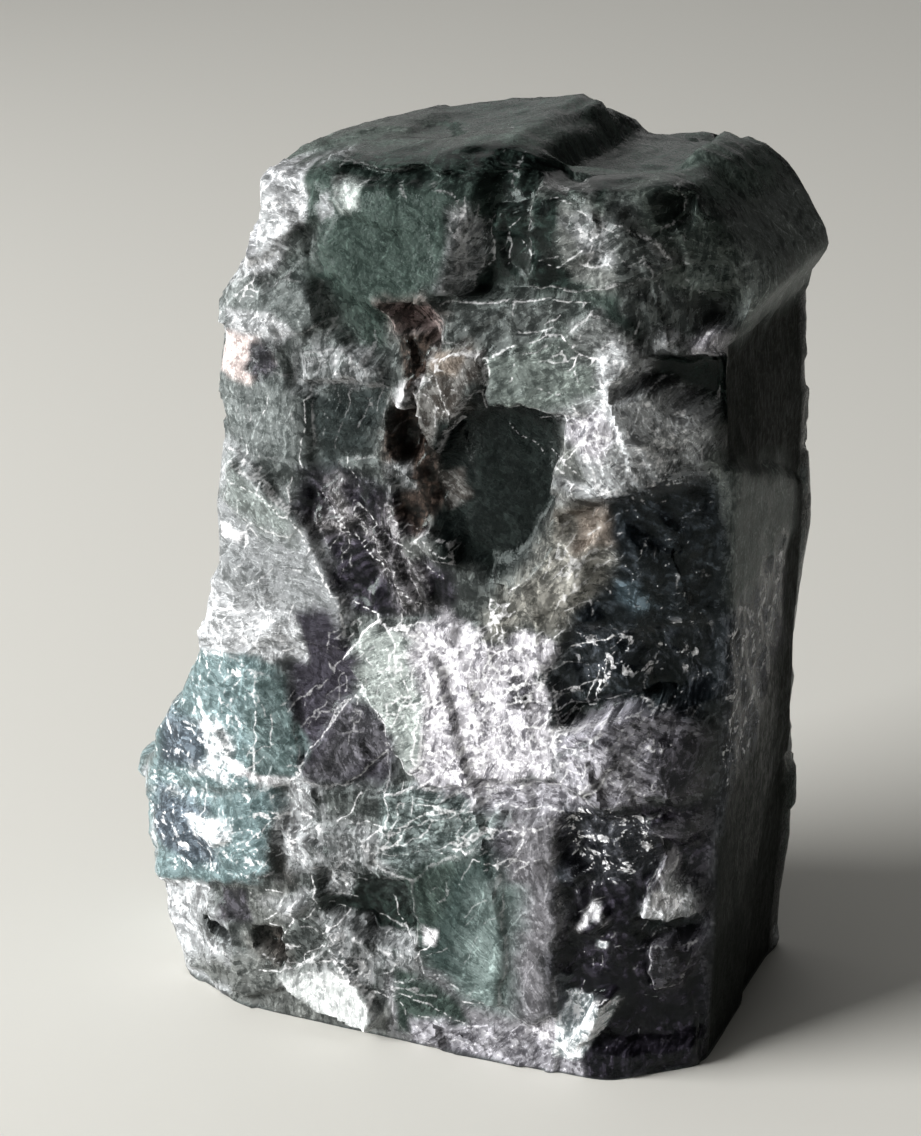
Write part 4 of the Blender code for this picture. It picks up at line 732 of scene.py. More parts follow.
# Colour and gloss: how the clouds lighten the body, how much of the clearness frost takes, how rough
# a frosted and a clean face are, how much rougher one is that isn't see-through, and the colour of
# bright lines. Then the relief of the grit, which is higher with milk, and the angle from which an
# edge between two faces is sharp.
BODY_LIGHT = (0.9, 0.55)
FROST_HIDES = 0.95
ROUGHNESS = (0.45, 0.16)
DULL_SPAN = (0.90, 0.95, 0.0, 0.4)
LINE_COLOR = (0.90, 0.90, 0.92)
BUMP_STRENGTH = 0.5
BUMP_METRES = 0.00025
BUMP_MILK = (1.2, 0.1)
SHARP_ANGLE = math.radians(60.0)

# Light on and in the stone: how it bends, the tint and strength of the sheen, and what it loses on
# its way, by the metre.
STONE_IOR = 1.434
SHEEN_TINT = (0.40, 0.46, 0.45)
SHEEN_LEVEL = 0.12
ABSORPTION_COLOR = (0.30, 0.54, 0.50)
ABSORPTION_DENSITY = 420.0

# The camera, in millimetres and in the block's own frame before it is centred: 19 degrees down and
# 22 degrees round to the right, with a focal length in pixels of the photograph.
CAMERA_PLACE = (120.308, -305.872, 172.692)
CAMERA_TILT, CAMERA_TURN = math.radians(90.0 - 19.0), math.radians(22.0)
PHOTO_HEIGHT = 1136
FOCAL_PIXELS = 2584.0
SENSOR = 36.0

# The floor, in metres: half its width and how far under the block it lies, then its colour.
FLOOR_HALF = 1.6
FLOOR_DROP = 0.00005
FLOOR_COLOR = (0.70, 0.69, 0.65)
FLOOR_ROUGHNESS = 0.7

# The lights: place in metres, width, power and colour. Both face a place inside the block.
LAMPS = {
    "window": ((-1.1, -0.9, 0.5), 1.0, 60.0, (1.0, 0.995, 0.98)),
    "room": ((-0.5, 1.3, 0.9), 1.4, 3.0, (1.0, 0.995, 0.98)),
}
LAMP_AIM = (0.0, 0.0, 0.06)

# The surround is darker to the back right: the way it darkens, over what span, and its strengths.
SURROUND_WAY = (0.8, 0.6, 0.0)
SURROUND_SPAN = (-0.75, 0.15, 0.45, 0.03)
SURROUND_COLOR = (1.0, 0.99, 0.95)


def profile(knots, at):
    """Straight lines between the knots of a profile, read at the given places."""
    places, values = np.array(knots, float).T
    return np.interp(at, places, values)


def smooth_step(value):
    """0 below 0, 1 above 1, and 3t^2 - 2t^3 between."""
    t = np.clip(value, 0.0, 1.0)
    return t * t * (3.0 - 2.0 * t)


def ray_net(across, deep, high):
    """The points of the net of rays on an outer box, and the numbers of its wall and lid points.

    The loop of each row runs along the front, the right, the back and the left wall. The lid is a
    grid whose rim is the last row. The bottom is left open.
    """
    xs = np.linspace(LEFT, RIGHT, across + 1)
    ys = np.linspace(FRONT, BACK, deep + 1)
    zs = np.linspace(0.0, TOP, high + 1)
    loop_x = np.concatenate([xs[:-1], np.full(deep, RIGHT), xs[:0:-1], np.full(deep, LEFT)])
    loop_y = np.concatenate([np.full(across, FRONT), ys[:-1], np.full(across, BACK), ys[:0:-1]])
    loop = len(loop_x)
    wall = np.stack([np.tile(loop_x, high + 1), np.tile(loop_y, high + 1), np.repeat(zs, loop)], axis=1)
    inner_x, inner_y = np.meshgrid(xs[1:-1], ys[1:-1], indexing="ij")
    lid = np.stack([inner_x.ravel(), inner_y.ravel(), np.full(inner_x.size, TOP)], axis=1)

    rows = np.arange((high + 1) * loop).reshape(high + 1, loop)
    rows = np.concatenate([rows, rows[:, :1]], axis=1)
    grid = np.zeros((across + 1, deep + 1), int)
    grid[1:-1, 1:-1] = len(wall) + np.arange(inner_x.size).reshape(across - 1, deep - 1)
    rim = rows[-1]
    grid[:-1, 0] = rim[:across]
    grid[-1, :-1] = rim[across:across + deep]
    grid[:0:-1, -1] = rim[across + deep:2 * across + deep]
    grid[0, :0:-1] = rim[2 * across + deep:loop]
    return np.concatenate([wall, lid]), rows, grid


def net_faces(rows, grid, across):
    """Faces of the net: every cell on the front, and two by two cells in one on the other sides.

    A cell of the other sides that borders the front takes the middle point of that edge as well,
    so it has five corners and leaves no gap.
    """
    front = rows[:, :across + 1]
    fine = np.stack([front[:-1, :-1], front[:-1, 1:], front[1:, 1:], front[1:, :-1]], axis=-1)
    side = rows[:, across:]
    low_left, low_right = side[:-1:2, :-1:2], side[:-1:2, 2::2]
    high_left, high_right = side[2::2, :-1:2], side[2::2, 2::2]
    wide = np.stack([low_left, low_right, high_right, high_left], axis=-1)
    near_right = np.concatenate([wide[:, 0], side[1::2, :1]], axis=1)
    near_left = np.insert(wide[:, -1], 2, side[1::2, -1], axis=1)
    lid = np.stack([grid[:-1:2, :-1:2], grid[2::2, :-1:2], grid[2::2, 2::2], grid[:-1:2, 2::2]], axis=-1)
    near_front = np.insert(lid[:, 0], 1, grid[1::2, 0], axis=1)
    quads = np.concatenate([fine.reshape(-1, 4), wide[:, 1:-1].reshape(-1, 4), lid[:, 1:].reshape(-1, 4)])
    return quads, np.concatenate([near_right, near_left, near_front])


def block_net():
    """The points that the rays lead to, and the corner numbers of the block's faces.

    The faces are quads, five-cornered faces along the front's border, and the loop of the base.
    """
    across, deep, high = (2 * round(size / FINE_SPACING / 2) for size in (RIGHT - LEFT, BACK - FRONT, TOP))
    outer, rows, grid = ray_net(across, deep, high)
    quads, fives = net_faces(rows, grid, across)
    foot = np.concatenate([rows[0, :across + 1], rows[0, across + 2:-1:2]])
    used, number = np.unique(np.concatenate([quads.ravel(), fives.ravel(), foot]), return_inverse=True)
    quads, fives, foot = np.split(number, [quads.size, quads.size + fives.size])
    return outer[used], quads.reshape(-1, 4), fives.reshape(-1, 5), foot


def core_points(outer):
    """The place on the core box, which has no floor of its own, that each ray leaves from."""
    return np.stack([np.clip(outer[:, 0], CORE_LEFT, CORE_RIGHT),
                     np.clip(outer[:, 1], CORE_FRONT, CORE_BACK),
                     np.minimum(outer[:, 2], CORE_TOP)], axis=1)


def beyond_walls(points):
    """How far points lie beyond the walls: the largest of point . facing - reach, negative inside.

    The reach of the left, right and top walls changes with height or with the place across. Where
    two walls are nearly as far, the log of their summed powers rounds the corner between them.
    """
    beyond = []
    for _, point, facing in CLEAVAGES:
        facing = np.array(facing, float) / np.linalg.norm(facing)
        beyond.append(points @ facing - np.dot(point, facing))
    x, y, z = points.T
    beyond.append(-x - LEFT_SPREAD * (y - LEFT_EDGE_Y) - profile(LEFT_EDGE, z))
    beyond.append(x - profile(RIGHT_EDGE, z))
    beyond.append(z - TOP_RISE * y - profile(TOP_RIDGE, x))
    beyond = np.array(beyond)
    most = beyond.max(axis=0)
    return most + CORNER_ROUND * np.log(np.exp((beyond - most) / CORNER_ROUND).sum(axis=0))


def ray_ends(start, way):
    """Where the rays leave the walls, found by halving the stretch that holds the crossing."""
    near = np.zeros(len(start))
    far = np.full(len(start), LONGEST_RAY)
    for _ in range(HALVINGS):
        middle = (near + far) / 2
        inside = beyond_walls(start + way * middle[:, None]) < 0.0
        near = np.where(inside, middle, near)
        far = np.where(inside, far, middle)
    return start + way * near[:, None]


def outline_offset(across, up, corners, closed=True):
    """Signed distance to an outline, negative inside, and the way from each point onto it.

    The nearest point on each side of the outline is its foot, held between the side's two ends.
    A point is inside when a level line from it crosses the outline an odd number of times. A line
    that isn't closed has no inside.
    """
    corners = np.array(corners, float)
    nearest = np.full(len(across), np.inf)
    slide = np.zeros((len(across), 2))
    inside = np.zeros(len(across), bool)
    sides = list(zip(corners, np.roll(corners, -1, axis=0)))
    for (ax, ay), (bx, by) in sides if closed else sides[:-1]:
        share = ((across - ax) * (bx - ax) + (up - ay) * (by - ay)) / ((bx - ax) ** 2 + (by - ay) ** 2)
        share = np.clip(share, 0.0, 1.0)
        gap = np.stack([ax + share * (bx - ax) - across, ay + share * (by - ay) - up], axis=1)
        away = np.hypot(gap[:, 0], gap[:, 1])
        closer = away < nearest
        nearest = np.where(closer, away, nearest)
        slide[closer] = gap[closer]
        if closed:
            crossing = (ay > up) != (by > up)
            level = ax + (up - ay) / np.where(by == ay, 1.0, by - ay) * (bx - ax)
            inside ^= crossing & (across < level)
    return np.where(inside, -nearest, nearest), slide


def around(across, up, corners, margin):
    """The numbers of the points inside an outline's own box, with a margin on every side."""
    low, high = np.min(corners, axis=0) - margin, np.max(corners, axis=0) + margin
    return np.flatnonzero((across > low[0]) & (across < high[0]) & (up > low[1]) & (up < high[1]))


def crinkle(across, up, spacing, seed):
    """Chance between -1 and 1 on the points of a square net, blended in straight lines between them."""
    net = np.random.default_rng(seed).uniform(-1.0, 1.0, (CRINKLE_NET, CRINKLE_NET))
    column, row = np.floor(across / spacing).astype(int), np.floor(up / spacing).astype(int)
    right, top = across / spacing - column, up / spacing - row
    near, far = column % CRINKLE_NET, (column + 1) % CRINKLE_NET
    low, high = row % CRINKLE_NET, (row + 1) % CRINKLE_NET
    return ((1.0 - top) * ((1.0 - right) * net[near, low] + right * net[far, low])
            + top * ((1.0 - right) * net[near, high] + right * net[far, high]))


def crinkled(across, up, size, spacing):
    """The places shifted by crinkles, and by finer ones, so that straight outlines break up."""
    strength, closer = FINER_CRINKLE
    shift = [crinkle(across, up, spacing, seed) + strength * crinkle(across, up, closer * spacing, seed + 1)
             for seed in CRINKLE_SEEDS]
    return across + size * shift[0], up + size * shift[1]


def spray_lines():
    """The short fine lines as veins: each starts near its group's middle and bends a little as it goes."""
    chance = np.random.default_rng(SPRAY_SEED)
    lines = []
    for count, middle, spread, angle, fan, length, bright in SPRAYS:
        for _ in range(count):
            place = np.array(middle) + SPRAY_GATHER * np.array(spread) * chance.normal(size=2)
            turn = math.radians(angle + fan * chance.uniform(-1.0, 1.0))
            stride = length / SPRAY_STRIDES * chance.uniform(*SPRAY_LENGTHS)
            turns = turn + np.cumsum(chance.normal(0.0, SPRAY_BEND, SPRAY_STRIDES))
            steps = stride * np.stack([np.cos(turns), np.sin(turns)], axis=1)
            points = place + np.concatenate([[(0.0, 0.0)], np.cumsum(steps, axis=0)])
            lines.append((bright * chance.uniform(*SPRAY_BRIGHTS), SPRAY_WIDTH, points))
    return tuple(lines)


def snap_to_lines(place, veins):
    """Slides points of the front wall that are nearly on a flake's outline or a vein onto it.

    Steps and lines have clean edges that way. The foot of the wall stays where it is.
    """
    wall = np.flatnonzero((np.abs(place[:, 1] - FRONT) < FRONT_BAND) & (place[:, 2] > FOOT_BAND))
    across, up = place[wall, 0], place[wall, 2]
    lines = [(flake[-1], True) for flake in FRONT_FLAKES] + [(vein[-1], False) for vein in veins]
    for corners, closed in lines:
        for _ in range(SNAP_ROUNDS):
            pick = around(across, up, corners, SNAP_MARGIN)
            broken = crinkled(across[pick], up[pick], EDGE_CRINKLE, CRINKLE_SPACING)
            away, slide = outline_offset(*broken, corners, closed)
            close = np.abs(away) < SNAP_REACH
            across[pick[close]] += slide[close, 0]
            up[pick[close]] += slide[close, 1]
    place[wall, 0] = across
    place[wall, 2] = up


def wave_turns(points, length, seed, count, lengths):
    """How many turns chance waves have made at the points, with a column for each wave.

    Each wave has its own direction, its own length around the given one, and its own start.
    """
    chance = np.random.default_rng(seed)
    ways = chance.normal(size=(count, points.shape[1]))
    ways /= np.linalg.norm(ways, axis=1)[:, None]
    waves = ways / length * chance.uniform(*lengths, count)[:, None]
    return points @ waves.T + chance.uniform(0.0, 1.0, count)


def ripple(points, length, seed):
    """Smooth chance between about -1 and 1: the mean of sine waves."""
    turns = wave_turns(points, length, seed, RIPPLE_WAVES, RIPPLE_LENGTHS)
    return np.sin(2.0 * math.pi * turns).mean(axis=1) * RIPPLE_GAIN


def creased(points, length, seed):
    """Chance between about -1 and 1 with flat slopes and sharp creases: the mean of triangle waves."""
    turns = wave_turns(points, length, seed, CREASE_WAVES, CREASE_LENGTHS)
    return (4.0 * np.abs(turns - np.floor(turns + 0.5)) - 1.0).mean(axis=1) * CREASE_GAIN


def rippled(points, parts):
    """Shifts of the points by ripples of several sizes, with seeds of its own for each axis."""
    return np.stack([sum(size * ripple(points, length, seed + axis) for size, length, seed in parts)
                     for axis in range(3)], axis=1)


def squeezed(points):
    """The points with space squeezed along the grain, which draws facets out along it."""
    grain = np.array(FACET_GRAIN) / np.linalg.norm(FACET_GRAIN)
    return points - (1.0 - 1.0 / FACET_STRETCH) * (points @ grain)[:, None] * grain


def scramble(cell, seed):
    """Four chance numbers from 0 to 1 for each whole-number cell, from the fraction of big sines."""
    mix = cell @ np.array(SCRAMBLE_WAY) + seed * SCRAMBLE_SEED
    return np.stack([np.modf(np.abs(np.sin(mix * rate) * SCRAMBLE_SIZE))[0] for rate in SCRAMBLE_RATES],
                    axis=1)


def chipped(points, spacing, step, tilt, bowl, seed):
    """A field of shallow chips that meet in ridges, and a chance number for each chip.

    The seeds stand on an endless shaken lattice. A seed's own surface is a bowl: a height, plus a
    slope times the way from the seed, plus the squared distance to it. The field is the lowest of
    the bowls of the point's own cell and of the 26 cells around it.
    """
    points = squeezed(points) / spacing
    home = np.floor(points)
    value, lot = np.full(len(points), np.inf), np.zeros(len(points))
    for shift in np.stack(np.meshgrid(*[(-1, 0, 1)] * 3, indexing="ij"), axis=-1).reshape(-1, 3):
        cell = home + shift
        place = scramble(cell, seed)
        plane = CHIP_GAIN * (scramble(cell, seed + CHIP_PLANE_SEED) - 0.5)
        gap = points - cell - place[:, :3]
        level = step * plane[:, 3] + tilt * spacing * (gap * plane[:, :3]).sum(axis=1)
        level += bowl * spacing * (gap ** 2).sum(axis=1)
        lower = level < value
        value = np.where(lower, level, value)
        lot = np.where(lower, place[:, 3], lot)
    return value - np.median(value), lot


def side_shares(place):
    """How much each point belongs to the front, right, left, back and top, from 0 to 1."""
    x, y, z = place.T
    outward = {"front": -y, "right": x, "left": -x, "back": y, "top": z}
    shares = {side: np.clip((outward[side] - start) / span, 0.0, 1.0)
              for side, (start, span) in SIDE_FADES.items()}
    rest = (1.0 - shares["front"]) * (1.0 - shares["back"])
    shares["top"] *= rest
    for side in ("right", "left"):
        shares[side] *= rest * (1.0 - shares["top"])
    return shares


def finish_row(name):
    """One finish as a row of numbers: body colour, milk, veil colour, frost, flecks, crumble, rim."""
    tint, milk, veil, frost, flecks, crumble, rim = FINISHES[name]
    return np.array([*tint, milk, *veil, frost, flecks, crumble, rim])


def lay_finish(look, pick, away, soft, row):
    """Lays a finish on the picked points: its share falls from 1 to 0 over a soft border."""
    share = smooth_step(0.5 - away / soft)
    look[pick] += share[:, None] * (row - look[pick])


def lay_patches(across, up, patches, look):
    """Lays patches of finish, with outlines that are crinkled by how far each of them wanders."""
    for finish, soft, wander, corners in patches:
        moved = crinkled(across, up, wander, CRINKLE_SPACING + wander)
        pick = around(*moved, corners, soft)
        away, _ = outline_offset(moved[0][pick], moved[1][pick], corners)
        lay_finish(look, pick, away, soft, finish_row(finish))


def lay_edge(across, up, pick, away, rim, line):
    """Lays a flake's edge line: how near its edge is, 1 on it, and how bright, which varies by chance.

    It covers all the lines inside its outline, and outside those that are farther off than it is.
    """
    near = np.clip(1.0 - np.where(away < 0.0, -away, OUTSIDE_FALL * away) / EDGE_REACH, 0.0, 1.0)
    shown = (away < 0.0) | (near > line[pick, 0])
    held = pick[shown]
    line[held, 0] = near[shown]
    line[held, 1] = rim * np.clip(0.5 + crinkle(across[held], up[held], RIM_SPACING, RIM_SEED), 0.0, 1.0)


def lay_flakes(across, up, flakes, look, line, grain):
    """Relief of the flakes, which also lays their finish, edge lines and grain on the points.

    Each flake covers the ones before it: its share rises from 0 to 1 over its step, which lies on
    both sides of its outline. Its own level is a plane: its level at its middle, plus its slope. Its
    finish fades out over a shorter way where it has a bright rim, on a border that wanders more.
    """
    relief = np.zeros(len(across))
    flat_across, flat_up = across, up
    across, up = crinkled(across, up, EDGE_CRINKLE, CRINKLE_SPACING)
    for number, (name, finish, level, step, slope, corners) in enumerate(flakes):
        pick = around(across, up, corners, EDGE_REACH)
        away, _ = outline_offset(across[pick], up[pick], corners)
        share = smooth_step(STEP_OVERLAP - away / max(STEP_SPREAD * step, LEAST_STEP))
        middle = np.mean(corners, axis=0)
        own = level + slope[0] * (across[pick] - middle[0]) + slope[1] * (up[pick] - middle[1])
        relief[pick] += share * (own - relief[pick])

        row = finish_row(finish)
        wandered = crinkled(flat_across[pick], flat_up[pick], COVER_WANDER, COVER_CRINKLE)
        border, _ = outline_offset(*wandered, corners)
        lay_finish(look, pick, border, np.interp(row[RIM], COVER_RIMS, COVER_SOFT), row)
        lay_edge(across, up, pick, away, row[RIM], line)
        inside = pick[away < 0.0]
        grain[inside] = grain_of(name, number, across[inside], up[inside], middle)
    return relief


def grain_of(name, number, across, up, middle):
    """Places across and along a flake's grain, and the flake's number, which sets its grain apart.

    The grain runs at an angle of the flake's own, a golden angle on from the last flake's. On one
    flake it fans out from a place.
    """
    if name == FAN_FLAKE:
        over, ahead = across - FAN_CENTRE[0], up - FAN_CENTRE[1]
        places = np.arctan2(ahead, over) * FAN_STRENGTH, np.hypot(over, ahead) * FAN_STRETCH
    else:
        over, ahead = across - middle[0], up - middle[1]
        cos, sin = math.cos(number * GOLDEN_ANGLE), math.sin(number * GOLDEN_ANGLE)
        places = over * cos + ahead * sin, ahead * cos - over * sin
    return np.stack([*places, np.full(len(across), float(number))], axis=1)


def lay_veins(across, up, veins, line):
    """Bright lines: each is 1 on its own points, and falls off over the reach of its width."""
    across, up = crinkled(across, up, EDGE_CRINKLE, CRINKLE_SPACING)
    for bright, width, points in veins:
        reach = width * VEIN_REACH
        pick = around(across, up, points, reach)
        away, _ = outline_offset(across[pick], up[pick], points, closed=False)
        near = np.clip(1.0 - away / reach, 0.0, 1.0)
        held = near * bright > line[pick, 0] * line[pick, 1]
        line[pick[held], 0] = near[held]
        line[pick[held], 1] = bright


def side_looks(place, shares):
    """The finish of the sides that aren't the front: each facet of a wide field draws one by lot."""
    _, lot = chipped(place + rippled(place, LOT_SHIFT), *LOT_CHIPS)
    look = np.zeros((len(place), RIM + 1))
    total = np.zeros(len(place))
    for side, names in LOTS.items():
        rows = np.array([finish_row(name) for name in names])
        drawn = rows[np.minimum((lot * len(names)).astype(int), len(names) - 1)]
        weight = shares[side] + LEAST_SHARE
        look += drawn * weight[:, None]
        total += weight
    return look / total[:, None]


def lay_side(place, side, laid):
    """The relief of one side's flakes, and copies of look, line and grain with that side laid on them."""
    patches, flakes, across, up = SIDES[side]
    look, line, grain = (values.copy() for values in laid)
    lay_patches(place[:, across], place[:, up], patches, look)
    relief = lay_flakes(place[:, across], place[:, up], flakes, look, line, grain)
    return relief, look, line, grain


def dressed(place, shares, veins):
    """What is laid on the points: the front's relief, that of the other sides, look, line and grain.

    Each side is laid on its own and comes in by its share. Only the front's grain is kept.
    """
    look = side_looks(place, shares)
    line = np.zeros((len(place), 2))
    grain = np.stack([place[:, 0] + place[:, 1], place[:, 2], place[:, 1]], axis=1)
    front_relief, front_look, front_line, front_grain = lay_side(place, "front", (look, line, grain))
    lay_patches(place[:, 0], place[:, 2], FINE_PATCHES, front_look)
    lay_veins(place[:, 0], place[:, 2], veins, front_line)

    side_relief = np.zeros(len(place))
    for side in ("right", "left", "back", "top"):
        relief, side_look, side_line, _ = lay_side(place, side, (look, line, grain))
        side_relief += shares[side] * relief
        look += shares[side][:, None] * (side_look - look)
        line += shares[side][:, None] * (side_line - line)
    front = shares["front"][:, None]
    look += front * (front_look - look)
    line += front * (front_line - line)
    return front_relief, side_relief, look, line, np.where(front > 0.5, front_grain, grain)


def facets(place, shares, crumble):
    """How far the three fields of chips move the points, and a chance number mixed from the chips'."""
    wide, _ = chipped(place, *WIDE_CHIPS)
    middle, middle_lot = chipped(place, *MIDDLE_CHIPS)
    small, small_lot = chipped(place, *SMALL_CHIPS)
    left_out = sum((1.0 - kept) * shares[side] for side, kept in FACET_SHARES.items())
    relief = wide * (1.0 - left_out) + crumble * (middle + small)
    return relief, CHIP_MIX[0] * middle_lot + CHIP_MIX[1] * small_lot


def creases(place, bend, share, length, seed):
    """A creased pattern on places that are shifted by a share of the bends."""
    return creased(place + share * bend, length, seed)


def block_surface():
    """Points and faces of the block's fine surface in millimetres, and what its finish reads there."""
    outer, quads, fives, foot = block_net()
    start = core_points(outer)
    way = outer - start
    way /= np.linalg.norm(way, axis=1)[:, None]
    place = ray_ends(start, way)
    veins = spray_lines() + VEINS
    snap_to_lines(place, veins)
    shares = side_shares(place)

    front_relief, relief, look, line, grain = dressed(place, shares, veins)
    base = outer[:, 2] == 0.0
    look[base] = finish_row("sawn base")
    facet_relief, chip = facets(place, shares, look[:, CRUMBLE])
    push = way * (relief + facet_relief)[:, None]
    push[:, 1] -= shares["front"] * front_relief
    push[base, 2] = 0.0

    bend = rippled(place, BENDS)
    cloud = sum(size * ripple(place + bend, length, seed) for size, length, seed in CLOUDS)
    size, length, seed = FINE_CLOUD
    cloud = 0.5 + 0.5 * (cloud + size * ripple(place, length, seed))
    readings = {"milk": look[:, MILK], "frost": look[:, FROST], "flecks": look[:, FLECKS],
                "edge": line[:, 0], "rim": line[:, 1], "cloud": cloud, "chip": chip,
                "crack": creases(place, bend, *CRACK), "shard": creases(place, bend, *SHARD),
                "tint": look[:, TINT], "veil": look[:, VEIL], "bent": place + bend,
                "grain": (grain + GRAIN_BEND * bend) * (1.0, GRAIN_LENGTH, 1.0)}
    return place + push, quads, fives, foot, readings


class Shading:
    """A material's node tree, with one short call for each kind of node."""

    def __init__(self, name):
        """A new material with its node tree, its shader and its output."""
        self.material = bpy.data.materials.new(name)
        self.material.use_nodes = True
        self.tree = self.material.node_tree
        self.shader = self.tree.nodes["Principled BSDF"]
        self.output = self.tree.nodes["Material Output"]

    def put(self, value, socket):
        """Links a socket or sets a plain value."""
        if isinstance(value, bpy.types.NodeSocket):
            self.tree.links.new(value, socket)
        else:
            socket.default_value = value

    def plain(self, values):
        """Sets the shader's own sockets to plain values, which are given by the sockets' names."""
        for name, value in values.items():
            self.shader.inputs[name].default_value = value

    def math(self, operation, first, second=0.0, third=0.0, clamp=False):
        """Plain arithmetic on one, two or three numbers."""
        node = self.tree.nodes.new("ShaderNodeMath")
        node.operation, node.use_clamp = operation, clamp
        for value, socket in zip((first, second, third), node.inputs):
            self.put(value, socket)
        return node.outputs[0]

    def chain(self, operation, first, *others):
        """The same arithmetic over two or more numbers, from the left."""
        for other in others:
            first = self.math(operation, first, other)
        return first

    def times(self, *values):
        """The product of the values."""
        return self.chain("MULTIPLY", *values)

    def highest(self, *values):
        """The highest of the values."""
        return self.chain("MAXIMUM", *values)

    def scaled(self, value, gain, base):
        """The value times a gain, plus a base."""
        return self.math("MULTIPLY_ADD", value, gain, base)

    def scale(self, vector, size):
        """A vector or a colour times a number."""
        node = self.tree.nodes.new("ShaderNodeVectorMath")
        node.operation = "SCALE"
        self.put(vector, node.inputs[0])
        self.put(size, node.inputs["Scale"])
        return node.outputs[0]

    def ramp(self, value, low, high, to_low=0.0, to_high=1.0):
        """A smooth rise from one level to another as the value goes from low to high."""
        node = self.tree.nodes.new("ShaderNodeMapRange")
        node.interpolation_type = "SMOOTHSTEP"
        for given, name in zip((value, low, high, to_low, to_high),
                               ("Value", "From Min", "From Max", "To Min", "To Max")):
            self.put(given, node.inputs[name])
        return node.outputs[0]

    def above(self, value, bar, soft):
        """1 where the value is above the bar by more than the soft border, and 0 where it is below."""
        return self.ramp(value, bar, self.math("ADD", bar, soft))

    def near_level(self, value, level, reach):
        """1 where the value is at the level, falling to 0 where it is farther off than the reach."""
        return self.ramp(self.math("ABSOLUTE", self.math("SUBTRACT", value, level)), reach, 0.0)

    def mix(self, share, first, second):
        """The second colour over the first by the share."""
        node = self.tree.nodes.new("ShaderNodeMix")
        node.data_type = "RGBA"
        self.put(share, node.inputs["Factor"])
        self.put(first, node.inputs[6])
        self.put(second, node.inputs[7])
        return node.outputs[2]

    def noise(self, place, scale, detail, rough):
        """Fractal noise around 0.5: waves to a millimetre, layers of finer ones, and how rough."""
        node = self.tree.nodes.new("ShaderNodeTexNoise")
        self.put(place, node.inputs["Vector"])
        node.inputs["Scale"].default_value = scale
        node.inputs["Detail"].default_value = detail
        node.inputs["Roughness"].default_value = rough
        return node.outputs["Fac"]

    def attribute(self, name, output="Fac"):
        """A value kept on the points of the surface."""
        node = self.tree.nodes.new("ShaderNodeAttribute")
        node.attribute_name = name
        return node.outputs[output]


